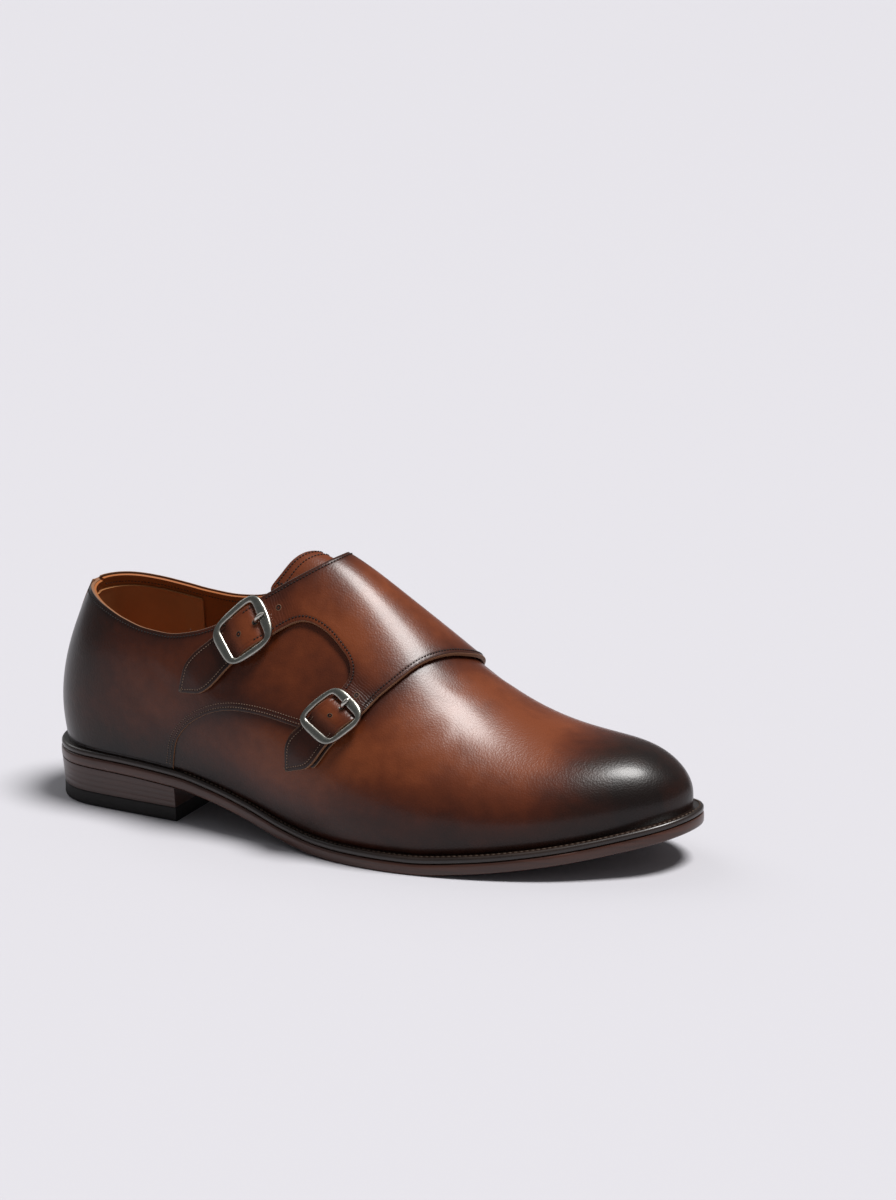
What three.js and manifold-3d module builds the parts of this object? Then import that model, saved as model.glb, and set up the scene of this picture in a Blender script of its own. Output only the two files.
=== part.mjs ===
// A man's double monk strap shoe for the right foot, in millimetres.
// +X runs from heel to toe, +Y to the medial side (the big toe's side), +Z up.
// The origin lies on the floor, under the middle of the heel.
import * as THREE from "three";
import { mergeVertices } from "three/addons/utils/BufferGeometryUtils.js";
import Module from "manifold-3d";

const wasm = await Module();
wasm.setup();

// Rows of numbers as objects, by the names of their columns.
const table = (names, ...rows) =>
  rows.map((row) => Object.fromEntries(names.map((name, i) => [name, row[i]])));

// ---------------------------------------------------------------- driving sizes
const HEEL_CENTRE = 37; // from the back of the sole to the origin
const GAP = 0.3; // between pieces that meet
const WALL = 2.4; // the upper's leather with its lining
const SOLE_THICK = 5; // leather outsole
const WELT_THICK = 3;
const INSOLE_THICK = 2.5;
const HEEL_BREAST = 74; // from the back of the sole to the front of the heel
const TOP_LIFT_THICK = 6.5;
const HEEL_INSET = 0.4; // the heel's seat, inside the sole's edge
const HEEL_FLARE = 0.8; // how far the heel narrows from seat to floor
const WELT_INSET = 0.2; // the welt's edge, inside the sole's

// The sole's underside, its height above the floor along the shoe.
const UNDERSIDE = [
  { at: 0, height: 18.4 },
  { at: 40, height: 18 },
  { at: 74, height: 16.2 },
  { at: 94, height: 12.8 },
  { at: 114, height: 8.2 },
  { at: 134, height: 3 },
  { at: 152, height: 0.4 },
  { at: 166, height: 0 },
  { at: 196, height: 0 },
  { at: 222, height: 2 },
  { at: 246, height: 5.3 },
  { at: 268, height: 9.2 },
  { at: 286, height: 13 },
  { at: 306.4, height: 17.6 },
];

// The sole's outline. Distances along are from its back, and across from the middle of the heel.
const SOLE = [
  { at: 0.8, lateral: 0, medial: 0 },
  { at: 5.2, lateral: -16.5, medial: 16.5 },
  { at: 15.5, lateral: -26.6, medial: 26.2 },
  { at: 34, lateral: -31, medial: 30.6 },
  { at: 58, lateral: -33, medial: 31.2 },
  { at: 84, lateral: -35.2, medial: 29.6 },
  { at: 110, lateral: -39.2, medial: 28 },
  { at: 136, lateral: -45.6, medial: 31 },
  { at: 162, lateral: -52, medial: 38 },
  { at: 188, lateral: -54, medial: 46 },
  { at: 214, lateral: -50.6, medial: 49.8 },
  { at: 240, lateral: -43.6, medial: 49 },
  { at: 262, lateral: -34.6, medial: 45 },
  { at: 282, lateral: -22.6, medial: 38 },
  { at: 298.4, lateral: -9, medial: 27.8 },
  { at: 306.4, lateral: 11.5, medial: 11.5 },
];

// The last. Each row is a section across the foot: lateral and medial are the feather line,
// ridge and lean the height and side of its top, bulge how far a side stands out past the
// feather line and rise how high above it, and fullL and fullM how square each shoulder is
// (0.5 would be a straight slope and 0.707 an ellipse).
const LAST = table(
  ["at", "lateral", "medial", "ridge", "lean", "bulge", "rise", "fullL", "fullM"],
  [5.6, 0, 0, 122, 0, 1.5, 18, 0.7, 0.7],
  [9.6, -13.5, 13.5, 122.5, 0, 2, 18, 0.7, 0.7],
  [19, -22.2, 22, 123, 0, 2.4, 18, 0.71, 0.71],
  [35, -26.4, 26, 124, 0, 3, 18, 0.72, 0.72],
  [58, -28.4, 26.6, 125, 1, 3.4, 18, 0.71, 0.72],
  [84, -30.6, 25.4, 125.5, 2, 4, 18, 0.69, 0.7],
  [108, -34, 23.8, 125, 3, 4.4, 17, 0.66, 0.7],
  [128, -38, 24.4, 122.4, 3.6, 4.2, 16, 0.65, 0.7],
  [146, -42.4, 27.6, 114.6, 4.4, 3.8, 14, 0.64, 0.7],
  [166, -46.8, 33, 101.4, 5.4, 3.4, 12.5, 0.645, 0.7],
  [186, -48, 38.6, 86.8, 6.4, 3, 11, 0.655, 0.71],
  [206, -45.6, 42.6, 71.4, 7.4, 2.6, 10, 0.665, 0.715],
  [226, -41, 43.2, 59.8, 8.2, 2.4, 9, 0.68, 0.72],
  [246, -34.6, 41.6, 53.2, 9, 2.2, 8.5, 0.69, 0.72],
  [264, -26.4, 38, 50.4, 10, 2, 8, 0.7, 0.72],
  [280, -15.8, 32, 47.6, 10.6, 1.8, 7.5, 0.7, 0.72],
  [292.5, -4, 23.4, 40.8, 11, 1.6, 7, 0.7, 0.72],
  [299.4, 11.5, 11.5, 31, 11.5, 1.4, 5, 0.7, 0.7],
);

// How far the back of the heel leans in, by height above the feather line.
const HEEL_LEAN = [
  { above: 0, inward: 1 },
  { above: 16, inward: 0 },
  { above: 31, inward: 1.6 },
  { above: 44, inward: 4.6 },
  { above: 56, inward: 8.4 },
  { above: 67, inward: 12.6 },
  { above: 77, inward: 17.4 },
  { above: 98, inward: 28 },
];
const HEEL_LEAN_REACH = 100; // where that lean has faded out, along the shoe

// The topline: its height above the floor on each side.
const TOPLINE = [
  { at: -20, lateral: 101, medial: 101 },
  { at: 14, lateral: 99.4, medial: 100.4 },
  { at: 24, lateral: 97.4, medial: 99.2 },
  { at: 36, lateral: 94, medial: 96.4 },
  { at: 48, lateral: 90.2, medial: 93.6 },
  { at: 60, lateral: 87.4, medial: 91.4 },
  { at: 72, lateral: 86.6, medial: 90.6 },
  { at: 84, lateral: 88.6, medial: 91.6 },
  { at: 96, lateral: 93, medial: 95 },
  { at: 110, lateral: 101, medial: 102 },
  { at: 126, lateral: 113, medial: 113 },
  { at: 150, lateral: 132, medial: 132 },
  { at: 170, lateral: 148, medial: 148 },
];
const THROAT = { from: 110, to: 164, width: 26, across: 4 }; // the slot that the tongue closes

// The flap: the front end of the medial quarter. Each row runs along the shoe at one girth,
// which is measured around the last from its ridge, lateral negative and medial positive.
const FLAP = [
  { girth: -37, back: 128, front: 179.4 },
  { girth: -29, back: 120.4, front: 183.4 },
  { girth: -20, back: 130.2, front: 187.4 },
  { girth: -10, back: 137.4, front: 192.2 },
  { girth: 0, back: 140, front: 196.4 },
  { girth: 10, back: 138.6, front: 198 },
  { girth: 22, back: 138, front: 195.8 },
  { girth: 34, back: 144, front: 190.4 },
  { girth: 46, back: 154, front: 183.2 },
  { girth: 58, back: 169, front: 175 },
];
const FLAP_LIFT = 3; // its underside, above the last
const FLAP_THICK = 2;
const STRAP_THICK = 1.8;
const STRAP_HALF = 7.7; // half the straps' width at the buckle

// The straps. Each row is a line across the strap, t ahead of the middle of its buckle,
// from its edge on the heel side to its edge on the toe side.
const STRAPS = {
  upper: [
    { t: -40.5, heelAt: 79.8, heelGirth: -73.4, toeAt: 80.8, toeGirth: -74.4 },
    { t: -31.5, heelAt: 82.6, heelGirth: -62.6, toeAt: 91.8, toeGirth: -72.6 },
    { t: -13.5, heelAt: 94.6, heelGirth: -49.8, toeAt: 105.2, toeGirth: -59.9 },
    { t: 0, heelAt: 104.8, heelGirth: -40.6, toeAt: 114.9, toeGirth: -51.8 },
    { t: 13, heelAt: 114.8, heelGirth: -32.6, toeAt: 125, toeGirth: -43.6 },
    { t: 19, heelAt: 119.6, heelGirth: -29, toeAt: 129.6, toeGirth: -39.9 },
    { t: 26, heelAt: 125.6, heelGirth: -24.6, toeAt: 137, toeGirth: -36.4 },
    { t: 36, heelAt: 134, heelGirth: -15.4, toeAt: 151, toeGirth: -34.6 },
  ],
  lower: [
    { t: -39.5, heelAt: 138.2, heelGirth: -95.8, toeAt: 139.8, toeGirth: -96.4 },
    { t: -30, heelAt: 138.8, heelGirth: -84.4, toeAt: 149.8, toeGirth: -88.6 },
    { t: -14, heelAt: 144.4, heelGirth: -73.4, toeAt: 157.4, toeGirth: -76 },
    { t: 0, heelAt: 152, heelGirth: -61.8, toeAt: 165.2, toeGirth: -63.6 },
    { t: 13, heelAt: 159.4, heelGirth: -50.6, toeAt: 171.6, toeGirth: -53.2 },
    { t: 18, heelAt: 160.8, heelGirth: -45.8, toeAt: 174.6, toeGirth: -47 },
    { t: 23, heelAt: 158.6, heelGirth: -40.8, toeAt: 177.4, toeGirth: -41 },
    { t: 30, heelAt: 150, heelGirth: -35, toeAt: 180.4, toeGirth: -35 },
  ],
};
// A strap's underside above the last: over the tab, up over the middle bar, under both end bars.
const STRAP_LIFT = [
  { t: -40.5, lift: 3 },
  { t: -33, lift: 3.1 },
  { t: -28, lift: 4.2 },
  { t: -8.6, lift: 4.2 },
  { t: -4.2, lift: 6.1 },
  { t: 0, lift: 6.6 },
  { t: 4.2, lift: 6.1 },
  { t: 8.6, lift: 4.2 },
  { t: 13, lift: 3.9 },
  { t: 19, lift: 3 },
  { t: 36, lift: 3 },
];

// The buckle: a rounded frame with a middle bar for the prong.
const BUCKLE = { long: 25.4, wide: 22, openLong: 16.6, openWide: 16.6, thick: 2.2, lift: 6.3 };
const FRAME_POWER = { inside: 6, outside: 4.2 }; // how square its two outlines are, 2 being an ellipse
const MIDDLE_BAR = { radius: 0.8, lift: 5.3 };
const PRONG_RADIUS = 0.8;
const PRONG = [
  { t: 1.6, lift: 5.3 },
  { t: 4, lift: 5.1 },
  { t: 6, lift: 6.2 },
  { t: 7.8, lift: 8.8 },
  { t: 10.2, lift: 9.7 },
  { t: 12.4, lift: 9.3 },
];
const TABS = {
  upper: { from: -20, to: 3, half: 6.4 },
  lower: { from: -27.5, to: 3, half: 8.9 },
};
const TAB_THICK = 0.9;

// The tongue, under the flap, in rows like the flap's.
const TONGUE = [
  { girth: -26, back: 118, front: 160 },
  { girth: -20, back: 118.4, front: 168 },
  { girth: -12, back: 121.6, front: 173 },
  { girth: -4, back: 125.6, front: 175 },
  { girth: 4, back: 128, front: 175.6 },
  { girth: 12, back: 127.6, front: 175 },
  { girth: 20, back: 124.6, front: 172 },
  { girth: 27, back: 122, front: 164 },
];
const TONGUE_GAP = 0.6; // under the upper's lining
const TONGUE_THICK = 1.7;

// ---------------------------------------------------------------- maths
// A cubic spline through the given values, with free or flat ends.
function spline(knots, values, flatStart = false, flatEnd = false) {
  const n = knots.length;
  const low = new Array(n).fill(0);
  const mid = new Array(n).fill(1);
  const high = new Array(n).fill(0);
  const right = new Array(n).fill(0);
  const step = (i) => knots[i + 1] - knots[i];
  const slope = (i) => (values[i + 1] - values[i]) / step(i);
  for (let i = 1; i < n - 1; i++) {
    low[i] = step(i - 1);
    mid[i] = 2 * (step(i - 1) + step(i));
    high[i] = step(i);
    right[i] = 6 * (slope(i) - slope(i - 1));
  }
  if (flatStart) {
    mid[0] = 2 * step(0);
    high[0] = step(0);
    right[0] = 6 * slope(0);
  }
  if (flatEnd) {
    low[n - 1] = step(n - 2);
    mid[n - 1] = 2 * step(n - 2);
    right[n - 1] = -6 * slope(n - 2);
  }
  for (let i = 1; i < n; i++) {
    const m = low[i] / mid[i - 1];
    mid[i] -= m * high[i - 1];
    right[i] -= m * right[i - 1];
  }
  const bend = new Array(n);
  bend[n - 1] = right[n - 1] / mid[n - 1];
  for (let i = n - 2; i >= 0; i--) bend[i] = (right[i] - high[i] * bend[i + 1]) / mid[i];
  return (t) => {
    let i = 0;
    while (i < n - 2 && t > knots[i + 1]) i++;
    const h = step(i);
    const a = (knots[i + 1] - t) / h;
    const b = (t - knots[i]) / h;
    const curve = ((a ** 3 - a) * bend[i] + (b ** 3 - b) * bend[i + 1]) * h * h;
    return a * values[i] + b * values[i + 1] + curve / 6;
  };
}

// A curve through the given values that never overshoots them.
function steady(knots, values) {
  const n = knots.length;
  const slope = (i) => (values[i + 1] - values[i]) / (knots[i + 1] - knots[i]);
  const tangent = values.map((_, i) => {
    if (i === 0) return slope(0);
    if (i === n - 1) return slope(n - 2);
    const [a, b] = [slope(i - 1), slope(i)];
    return a * b <= 0 ? 0 : (2 * a * b) / (a + b);
  });
  return (t) => {
    let i = 0;
    while (i < n - 2 && t > knots[i + 1]) i++;
    const h = knots[i + 1] - knots[i];
    const s = (t - knots[i]) / h;
    const rise = (3 - 2 * s) * s * s;
    const bend = h * s * (1 - s) * ((1 - s) * tangent[i] - s * tangent[i + 1]);
    return values[i] + (values[i + 1] - values[i]) * rise + bend;
  };
}

const column = (rows, name) => rows.map((row) => row[name]);
const clamp = (t, low, high) => Math.min(high, Math.max(low, t));
const fade = (t) => {
  const c = clamp(t, 0, 1);
  return c * c * (3 - 2 * c);
};
const vec = (x, y, z) => new THREE.Vector3(x, y, z);

const underside = steady(column(UNDERSIDE, "at"), column(UNDERSIDE, "height"));
const seatHeight = (at) => underside(at) + SOLE_THICK + WELT_THICK;

// An outline's own parameter, 0 at its back and 1 at its front, by the length of its sides.
function outlineStations(rows) {
  const s = [0];
  rows.slice(1).forEach((row, i) => {
    const side = (name) => Math.hypot(row.at - rows[i].at, row[name] - rows[i][name]);
    s.push(s[i] + (side("lateral") + side("medial")) / 2);
  });
  return s.map((t) => t / s[s.length - 1]);
}

function outlineOf(rows) {
  const s = outlineStations(rows);
  const at = spline(s, column(rows, "at"), true, true);
  const lateral = spline(s, column(rows, "lateral"));
  const medial = spline(s, column(rows, "medial"));
  return { at, lateral, medial };
}

// ---------------------------------------------------------------- the last's surface
const stations = outlineStations(LAST);
const along = outlineOf(LAST);
for (const name of ["lean", "bulge", "rise", "fullL", "fullM"])
  along[name] = spline(stations, column(LAST, name), true, true);
along.ridge = spline(stations, column(LAST, "ridge"), true, false);

const heelLean = spline(column(HEEL_LEAN, "above"), column(HEEL_LEAN, "inward"));

const FULL_BULGE_WIDTH = 24;
// The section at p, as a function of q: -1 the lateral feather line, 0 the ridge, 1 the medial.
function section(p) {
  const s = {};
  for (const name in along) s[name] = along[name](p);
  const seat = seatHeight(s.at);
  // A side can't bulge where the form closes.
  const open = clamp((s.medial - s.lateral) / FULL_BULGE_WIDTH, 0, 1);
  const belly = seat + s.rise;
  const side = (edge, full, sign) => {
    const out = edge + sign * s.bulge * open;
    return [
      [edge, seat],
      [out, belly],
      [s.lean + (out - s.lean) * full, belly + (s.ridge - belly) * full],
    ];
  };
  const medialSide = side(s.medial, s.fullM, 1).reverse();
  const points = [...side(s.lateral, s.fullL, -1), [s.lean, s.ridge], ...medialSide];
  const chords = points.slice(1).map((c, i) => Math.hypot(c[0] - points[i][0], c[1] - points[i][1]));
  const lateralLength = chords[0] + chords[1] + chords[2];
  const medialLength = chords[3] + chords[4] + chords[5];
  const knots = [-1, -1 + chords[0] / lateralLength, -chords[2] / lateralLength, 0];
  knots.push(chords[3] / medialLength, 1 - chords[5] / medialLength, 1);
  const y = spline(knots, points.map((c) => c[0]));
  const z = spline(knots, points.map((c) => c[1]));
  const point = (q) => {
    const height = z(q);
    const inward = heelLean(height - seat) * (1 - fade(s.at / HEEL_LEAN_REACH));
    return vec(s.at + inward - HEEL_CENTRE, y(q), height);
  };
  return { point, lateralLength, medialLength, seat };
}

const NUDGE = 1e-4;
function normalAt(p, q) {
  const [p0, p1] = [clamp(p - NUDGE, 0, 1), clamp(p + NUDGE, 0, 1)];
  const [q0, q1] = [clamp(q - NUDGE, -1, 1), clamp(q + NUDGE, -1, 1)];
  const alongShoe = section(p1).point(q).sub(section(p0).point(q));
  const around = section(p).point(q1).sub(section(p).point(q0));
  return alongShoe.cross(around).normalize();
}
const onForm = (p, q, lift) => section(p).point(q).addScaledVector(normalAt(p, q), lift);

// ---------------------------------------------------------------- meshes
function meshOf(vertices, triangles) {
  const flat = new Float32Array(vertices.flatMap((v) => [v.x, v.y, v.z]));
  const geometry = new THREE.BufferGeometry();
  geometry.setAttribute("position", new THREE.BufferAttribute(flat, 3));
  geometry.setIndex(triangles);
  const merged = mergeVertices(geometry, 1e-3);
  const index = Array.from(merged.index.array);
  const kept = [];
  for (let i = 0; i < index.length; i += 3) {
    const [a, b, c] = index.slice(i, i + 3);
    if (a !== b && b !== c && c !== a) kept.push(a, b, c);
  }
  merged.setIndex(kept);
  return merged;
}

function solid(geometry) {
  const bare = geometry.clone();
  bare.deleteAttribute("normal");
  bare.deleteAttribute("uv");
  const merged = mergeVertices(bare, 1e-3);
  const vertProperties = merged.attributes.position.array;
  const triVerts = new Uint32Array(merged.index.array);
  return new wasm.Manifold(new wasm.Mesh({ numProp: 3, vertProperties, triVerts }));
}

function geometryOf(manifold) {
  const mesh = manifold.getMesh();
  const geometry = new THREE.BufferGeometry();
  geometry.setAttribute("position", new THREE.BufferAttribute(new Float32Array(mesh.vertProperties), 3));
  geometry.setIndex(new THREE.BufferAttribute(new Uint32Array(mesh.triVerts), 1));
  geometry.computeVertexNormals();
  return geometry;
}

// The last as a closed form grown outwards by lift, its bottom edge drop above the feather line.
const FORM_COLUMNS = 36;
const FORM_ROWS = 22;
function lastForm(lift, drop) {
  const vertices = [];
  const triangles = [];
  const across = FORM_ROWS + 1;
  for (let i = 0; i <= FORM_COLUMNS; i++)
    for (let j = 0; j <= FORM_ROWS; j++) {
      const p = i / FORM_COLUMNS;
      const q = (2 * j) / FORM_ROWS - 1;
      const v = onForm(p, q, lift);
      const end = i === 0 || i === FORM_COLUMNS; // where the two sides meet
      if (end) v.add(onForm(p, -q, lift)).multiplyScalar(0.5);
      if (j === 0 || j === FORM_ROWS) v.z = seatHeight(v.x + HEEL_CENTRE) + drop;
      vertices.push(v);
    }
  for (let i = 0; i < FORM_COLUMNS; i++) {
    for (let j = 0; j < FORM_ROWS; j++) {
      const a = i * across + j;
      triangles.push(a, a + across, a + across + 1, a, a + across + 1, a + 1);
    }
    const [l0, l1] = [i * across, (i + 1) * across];
    const [m0, m1] = [l0 + FORM_ROWS, l1 + FORM_ROWS];
    triangles.push(l0, m0, m1, l0, m1, l1);
  }
  return solid(meshOf(vertices, triangles));
}

// ---------------------------------------------------------------- upper
// The cutters reach past the form.
const HIGH = 200;
const WIDE = 90;
const THROAT_FOOT = 60;
const BELOW_FEATHER = 4;
const OPENING_STEPS = 40;
function openingCutter() {
  const lateral = steady(column(TOPLINE, "at"), column(TOPLINE, "lateral"));
  const medial = steady(column(TOPLINE, "at"), column(TOPLINE, "medial"));
  const [from, to] = [TOPLINE[0].at, TOPLINE[TOPLINE.length - 1].at];
  const vertices = [];
  const triangles = [];
  for (let i = 0; i <= OPENING_STEPS; i++) {
    const at = from + ((to - from) * i) / OPENING_STEPS;
    const x = at - HEEL_CENTRE;
    vertices.push(vec(x, -WIDE, lateral(at)), vec(x, WIDE, medial(at)));
    vertices.push(vec(x, WIDE, HIGH), vec(x, -WIDE, HIGH));
  }
  for (let i = 0; i < OPENING_STEPS; i++)
    for (let k = 0; k < 4; k++) {
      const [a, b] = [4 * i + k, 4 * i + ((k + 1) % 4)];
      triangles.push(a, b + 4, a + 4, a, b, b + 4);
    }
  const last = 4 * OPENING_STEPS;
  triangles.push(0, 2, 1, 0, 3, 2, last, last + 1, last + 2, last, last + 2, last + 3);
  return solid(meshOf(vertices, triangles));
}

function throatCutter() {
  const shape = new THREE.Shape();
  const half = THROAT.width / 2;
  const front = THROAT.to - HEEL_CENTRE - half;
  shape.moveTo(THROAT.from - HEEL_CENTRE, THROAT.across - half);
  shape.lineTo(front, THROAT.across - half);
  shape.absarc(front, THROAT.across, half, -Math.PI / 2, Math.PI / 2);
  shape.lineTo(THROAT.from - HEEL_CENTRE, THROAT.across + half);
  const prism = new THREE.ExtrudeGeometry(shape, { depth: HIGH, bevelEnabled: false, curveSegments: 10 });
  return solid(prism.translate(0, 0, THROAT_FOOT));
}

function upper() {
  const shell = lastForm(WALL, GAP).subtract(lastForm(0, -BELOW_FEATHER));
  return geometryOf(shell.subtract(openingCutter()).subtract(throatCutter()));
}

// ---------------------------------------------------------------- sole
// The two edges of an outline, moved inwards by inset, as columns from its back to its front.
const SOLE_COLUMNS = 38;
function outlineColumns(rows, inset, upTo = 1) {
  const outline = outlineOf(rows);
  const edge = (p, name, side) => {
    const [p0, p1] = [clamp(p - NUDGE, 0, 1), clamp(p + NUDGE, 0, 1)];
    const across = outline[name](p1) - outline[name](p0);
    const ahead = vec(outline.at(p1) - outline.at(p0), across, 0).normalize();
    return vec(outline.at(p) + side * ahead.y * inset, outline[name](p) - side * ahead.x * inset, 0);
  };
  const columns = [];
  for (let i = 0; i <= SOLE_COLUMNS; i++) {
    const p = (upTo * i) / SOLE_COLUMNS;
    columns.push([edge(p, "lateral", -1), edge(p, "medial", 1)]);
  }
  return columns;
}

// A closed slab between two such lists of columns, at the heights low(at) and high(at).
function slab(lower, upper, low, high) {
  const vertices = [];
  const triangles = [];
  lower.forEach(([l, m], i) => {
    const [L, M] = upper[i];
    const rise = (v, height) => vec(v.x - HEEL_CENTRE, v.y, height(v.x));
    vertices.push(rise(l, low), rise(m, low), rise(M, high), rise(L, high));
  });
  for (let i = 0; i < lower.length - 1; i++)
    for (let k = 0; k < 4; k++) {
      const [a, b] = [4 * i + k, 4 * i + ((k + 1) % 4)];
      triangles.push(a, b + 4, a + 4, a, b, b + 4);
    }
  const last = 4 * (lower.length - 1);
  triangles.push(0, 2, 1, 0, 3, 2, last, last + 1, last + 2, last, last + 2, last + 3);
  return meshOf(vertices, triangles);
}

const soleTop = (at) => underside(at) + SOLE_THICK;

function outsole() {
  const columns = outlineColumns(SOLE, 0);
  return slab(columns, columns, underside, soleTop);
}

const WELT_INNER = 1.5; // from the feather line inwards
const PAST = 1; // how far its cutter reaches past it
function welt() {
  const outer = outlineColumns(SOLE, WELT_INSET);
  const inner = outlineColumns(LAST, WELT_INNER);
  const whole = solid(slab(outer, outer, (at) => soleTop(at) + GAP, seatHeight));
  const [under, over] = [(at) => soleTop(at) - PAST, (at) => seatHeight(at) + PAST];
  const hole = slab(inner, inner, under, over);
  return geometryOf(whole.subtract(solid(hole)));
}

function insole() {
  const columns = outlineColumns(LAST, WELT_INNER + GAP);
  return slab(columns, columns, (at) => soleTop(at) + GAP, (at) => soleTop(at) + GAP + INSOLE_THICK);
}

// The outline's parameter where it passes a given distance along the shoe.
const HALVINGS = 40;
function stationAt(outline, at) {
  let [low, high] = [0, 1];
  for (let i = 0; i < HALVINGS; i++) {
    const middle = (low + high) / 2;
    if (outline.at(middle) < at) low = middle;
    else high = middle;
  }
  return low;
}
const heelFront = stationAt(outlineOf(SOLE), HEEL_BREAST);

function heelStack() {
  const top = outlineColumns(SOLE, HEEL_INSET, heelFront);
  const foot = outlineColumns(SOLE, HEEL_INSET + HEEL_FLARE, heelFront);
  return slab(foot, top, () => TOP_LIFT_THICK + GAP, (at) => underside(at) - GAP);
}

function topLift() {
  const columns = outlineColumns(SOLE, HEEL_INSET + HEEL_FLARE, heelFront);
  return slab(columns, columns, () => 0, () => TOP_LIFT_THICK);
}

// ---------------------------------------------------------------- leather on the last
// The last's surface by distance along the shoe and girth from the ridge.
function onLast(at, girth, lift) {
  const p = stationAt(along, at);
  const { lateralLength, medialLength } = section(p);
  return onForm(p, girth / (girth < 0 ? lateralLength : medialLength), lift);
}

// A closed sheet over a grid of places { at, girth, low, high }: rows of equal length.
function sheet(grid) {
  const across = grid[0].length;
  const vertices = [];
  for (const level of ["low", "high"])
    for (const row of grid) for (const c of row) vertices.push(onLast(c.at, c.girth, c[level]));
  const id = (i, j, top) => (top * grid.length + i) * across + j;
  const triangles = [];
  const quad = (a, b, c, d) => triangles.push(a, b, c, a, c, d);
  for (let i = 0; i < grid.length - 1; i++)
    for (let j = 0; j < across - 1; j++) {
      quad(id(i, j, 1), id(i + 1, j, 1), id(i + 1, j + 1, 1), id(i, j + 1, 1));
      quad(id(i, j, 0), id(i, j + 1, 0), id(i + 1, j + 1, 0), id(i + 1, j, 0));
    }
  for (let i = 0; i < grid.length - 1; i++) {
    quad(id(i, 0, 0), id(i + 1, 0, 0), id(i + 1, 0, 1), id(i, 0, 1));
    quad(id(i + 1, across - 1, 0), id(i, across - 1, 0), id(i, across - 1, 1), id(i + 1, across - 1, 1));
  }
  const end = grid.length - 1;
  for (let j = 0; j < across - 1; j++) {
    quad(id(0, j + 1, 0), id(0, j, 0), id(0, j, 1), id(0, j + 1, 1));
    quad(id(end, j, 0), id(end, j + 1, 0), id(end, j + 1, 1), id(end, j, 1));
  }
  return meshOf(vertices, triangles);
}

// A sheet between the back and the front edge of such rows as FLAP's.
const FLAP_GRID = { steps: 20, across: 8 };
const TONGUE_GRID = { steps: 12, across: 8 };
function panel(rows, low, high, { steps, across }) {
  const girths = column(rows, "girth");
  const back = steady(girths, column(rows, "back"));
  const front = steady(girths, column(rows, "front"));
  const grid = [];
  for (let i = 0; i <= steps; i++) {
    const girth = girths[0] + ((girths[girths.length - 1] - girths[0]) * i) / steps;
    const at = (share) => back(girth) + (front(girth) - back(girth)) * share;
    const place = (_, j) => ({ at: at(1 - j / across), girth, low, high });
    grid.push(Array.from({ length: across + 1 }, place));
  }
  return solid(sheet(grid));
}

// The place on a strap t ahead of its buckle and v of its half width to the toe side.
function strapPlaces(rows) {
  const t = column(rows, "t");
  const edge = {};
  for (const name of ["heelAt", "heelGirth", "toeAt", "toeGirth"])
    edge[name] = spline(t, column(rows, name));
  const between = (a, b, v) => a + ((b - a) * (v + 1)) / 2;
  return (along, v) => ({
    at: between(edge.heelAt(along), edge.toeAt(along), v),
    girth: between(edge.heelGirth(along), edge.toeGirth(along), v),
  });
}
const strapLift = steady(column(STRAP_LIFT, "t"), column(STRAP_LIFT, "lift"));

const STRAP_STEPS = 28;
const ACROSS_STRAP = [1, 0.5, 0, -0.5, -1]; // of its half width
function strap(rows) {
  const place = strapPlaces(rows);
  const [from, to] = [rows[0].t, rows[rows.length - 1].t];
  const grid = [];
  for (let i = 0; i <= STRAP_STEPS; i++) {
    const t = from + ((to - from) * i) / STRAP_STEPS;
    const low = strapLift(t);
    grid.push(ACROSS_STRAP.map((v) => ({ ...place(t, v), low, high: low + STRAP_THICK })));
  }
  return solid(sheet(grid));
}

const TAB_STEPS = 8;
function tab(rows, size) {
  const place = strapPlaces(rows);
  const [low, high] = [FLAP_LIFT, FLAP_LIFT + TAB_THICK];
  const grid = [];
  for (let i = 0; i <= TAB_STEPS; i++) {
    const t = size.from + ((size.to - size.from) * i) / TAB_STEPS;
    grid.push(ACROSS_STRAP.map((v) => ({ ...place(t, (v * size.half) / STRAP_HALF), low, high })));
  }
  return sheet(grid);
}

// ---------------------------------------------------------------- buckles
// A tube or bar through places { t, v, lift } of a strap, as a closed solid.
function strapCurve(rows, places) {
  const place = strapPlaces(rows);
  return places.map(({ t, v, lift }) => {
    const c = place(t, v / STRAP_HALF);
    return onLast(c.at, c.girth, lift);
  });
}

const ROD = { steps: 14, curveSegments: 4, bevelEnabled: false };
function rod(points, radius) {
  const path = new THREE.CatmullRomCurve3(points);
  const circle = new THREE.Shape().absarc(0, 0, radius, 0, 2 * Math.PI);
  return new THREE.ExtrudeGeometry(circle, { ...ROD, extrudePath: path });
}

// A point of a rounded rectangle, by angle, pulled between its inner and outer outline by k.
function framePoint(angle, k) {
  const mix = (a, b) => a + (b - a) * k;
  const [halfT, halfV] = [mix(BUCKLE.openLong, BUCKLE.long) / 2, mix(BUCKLE.openWide, BUCKLE.wide) / 2];
  const power = 2 / mix(FRAME_POWER.inside, FRAME_POWER.outside);
  const bend = (c) => Math.sign(c) * Math.abs(c) ** power;
  return { t: halfT * bend(Math.cos(angle)), v: halfV * bend(Math.sin(angle)) };
}

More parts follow.
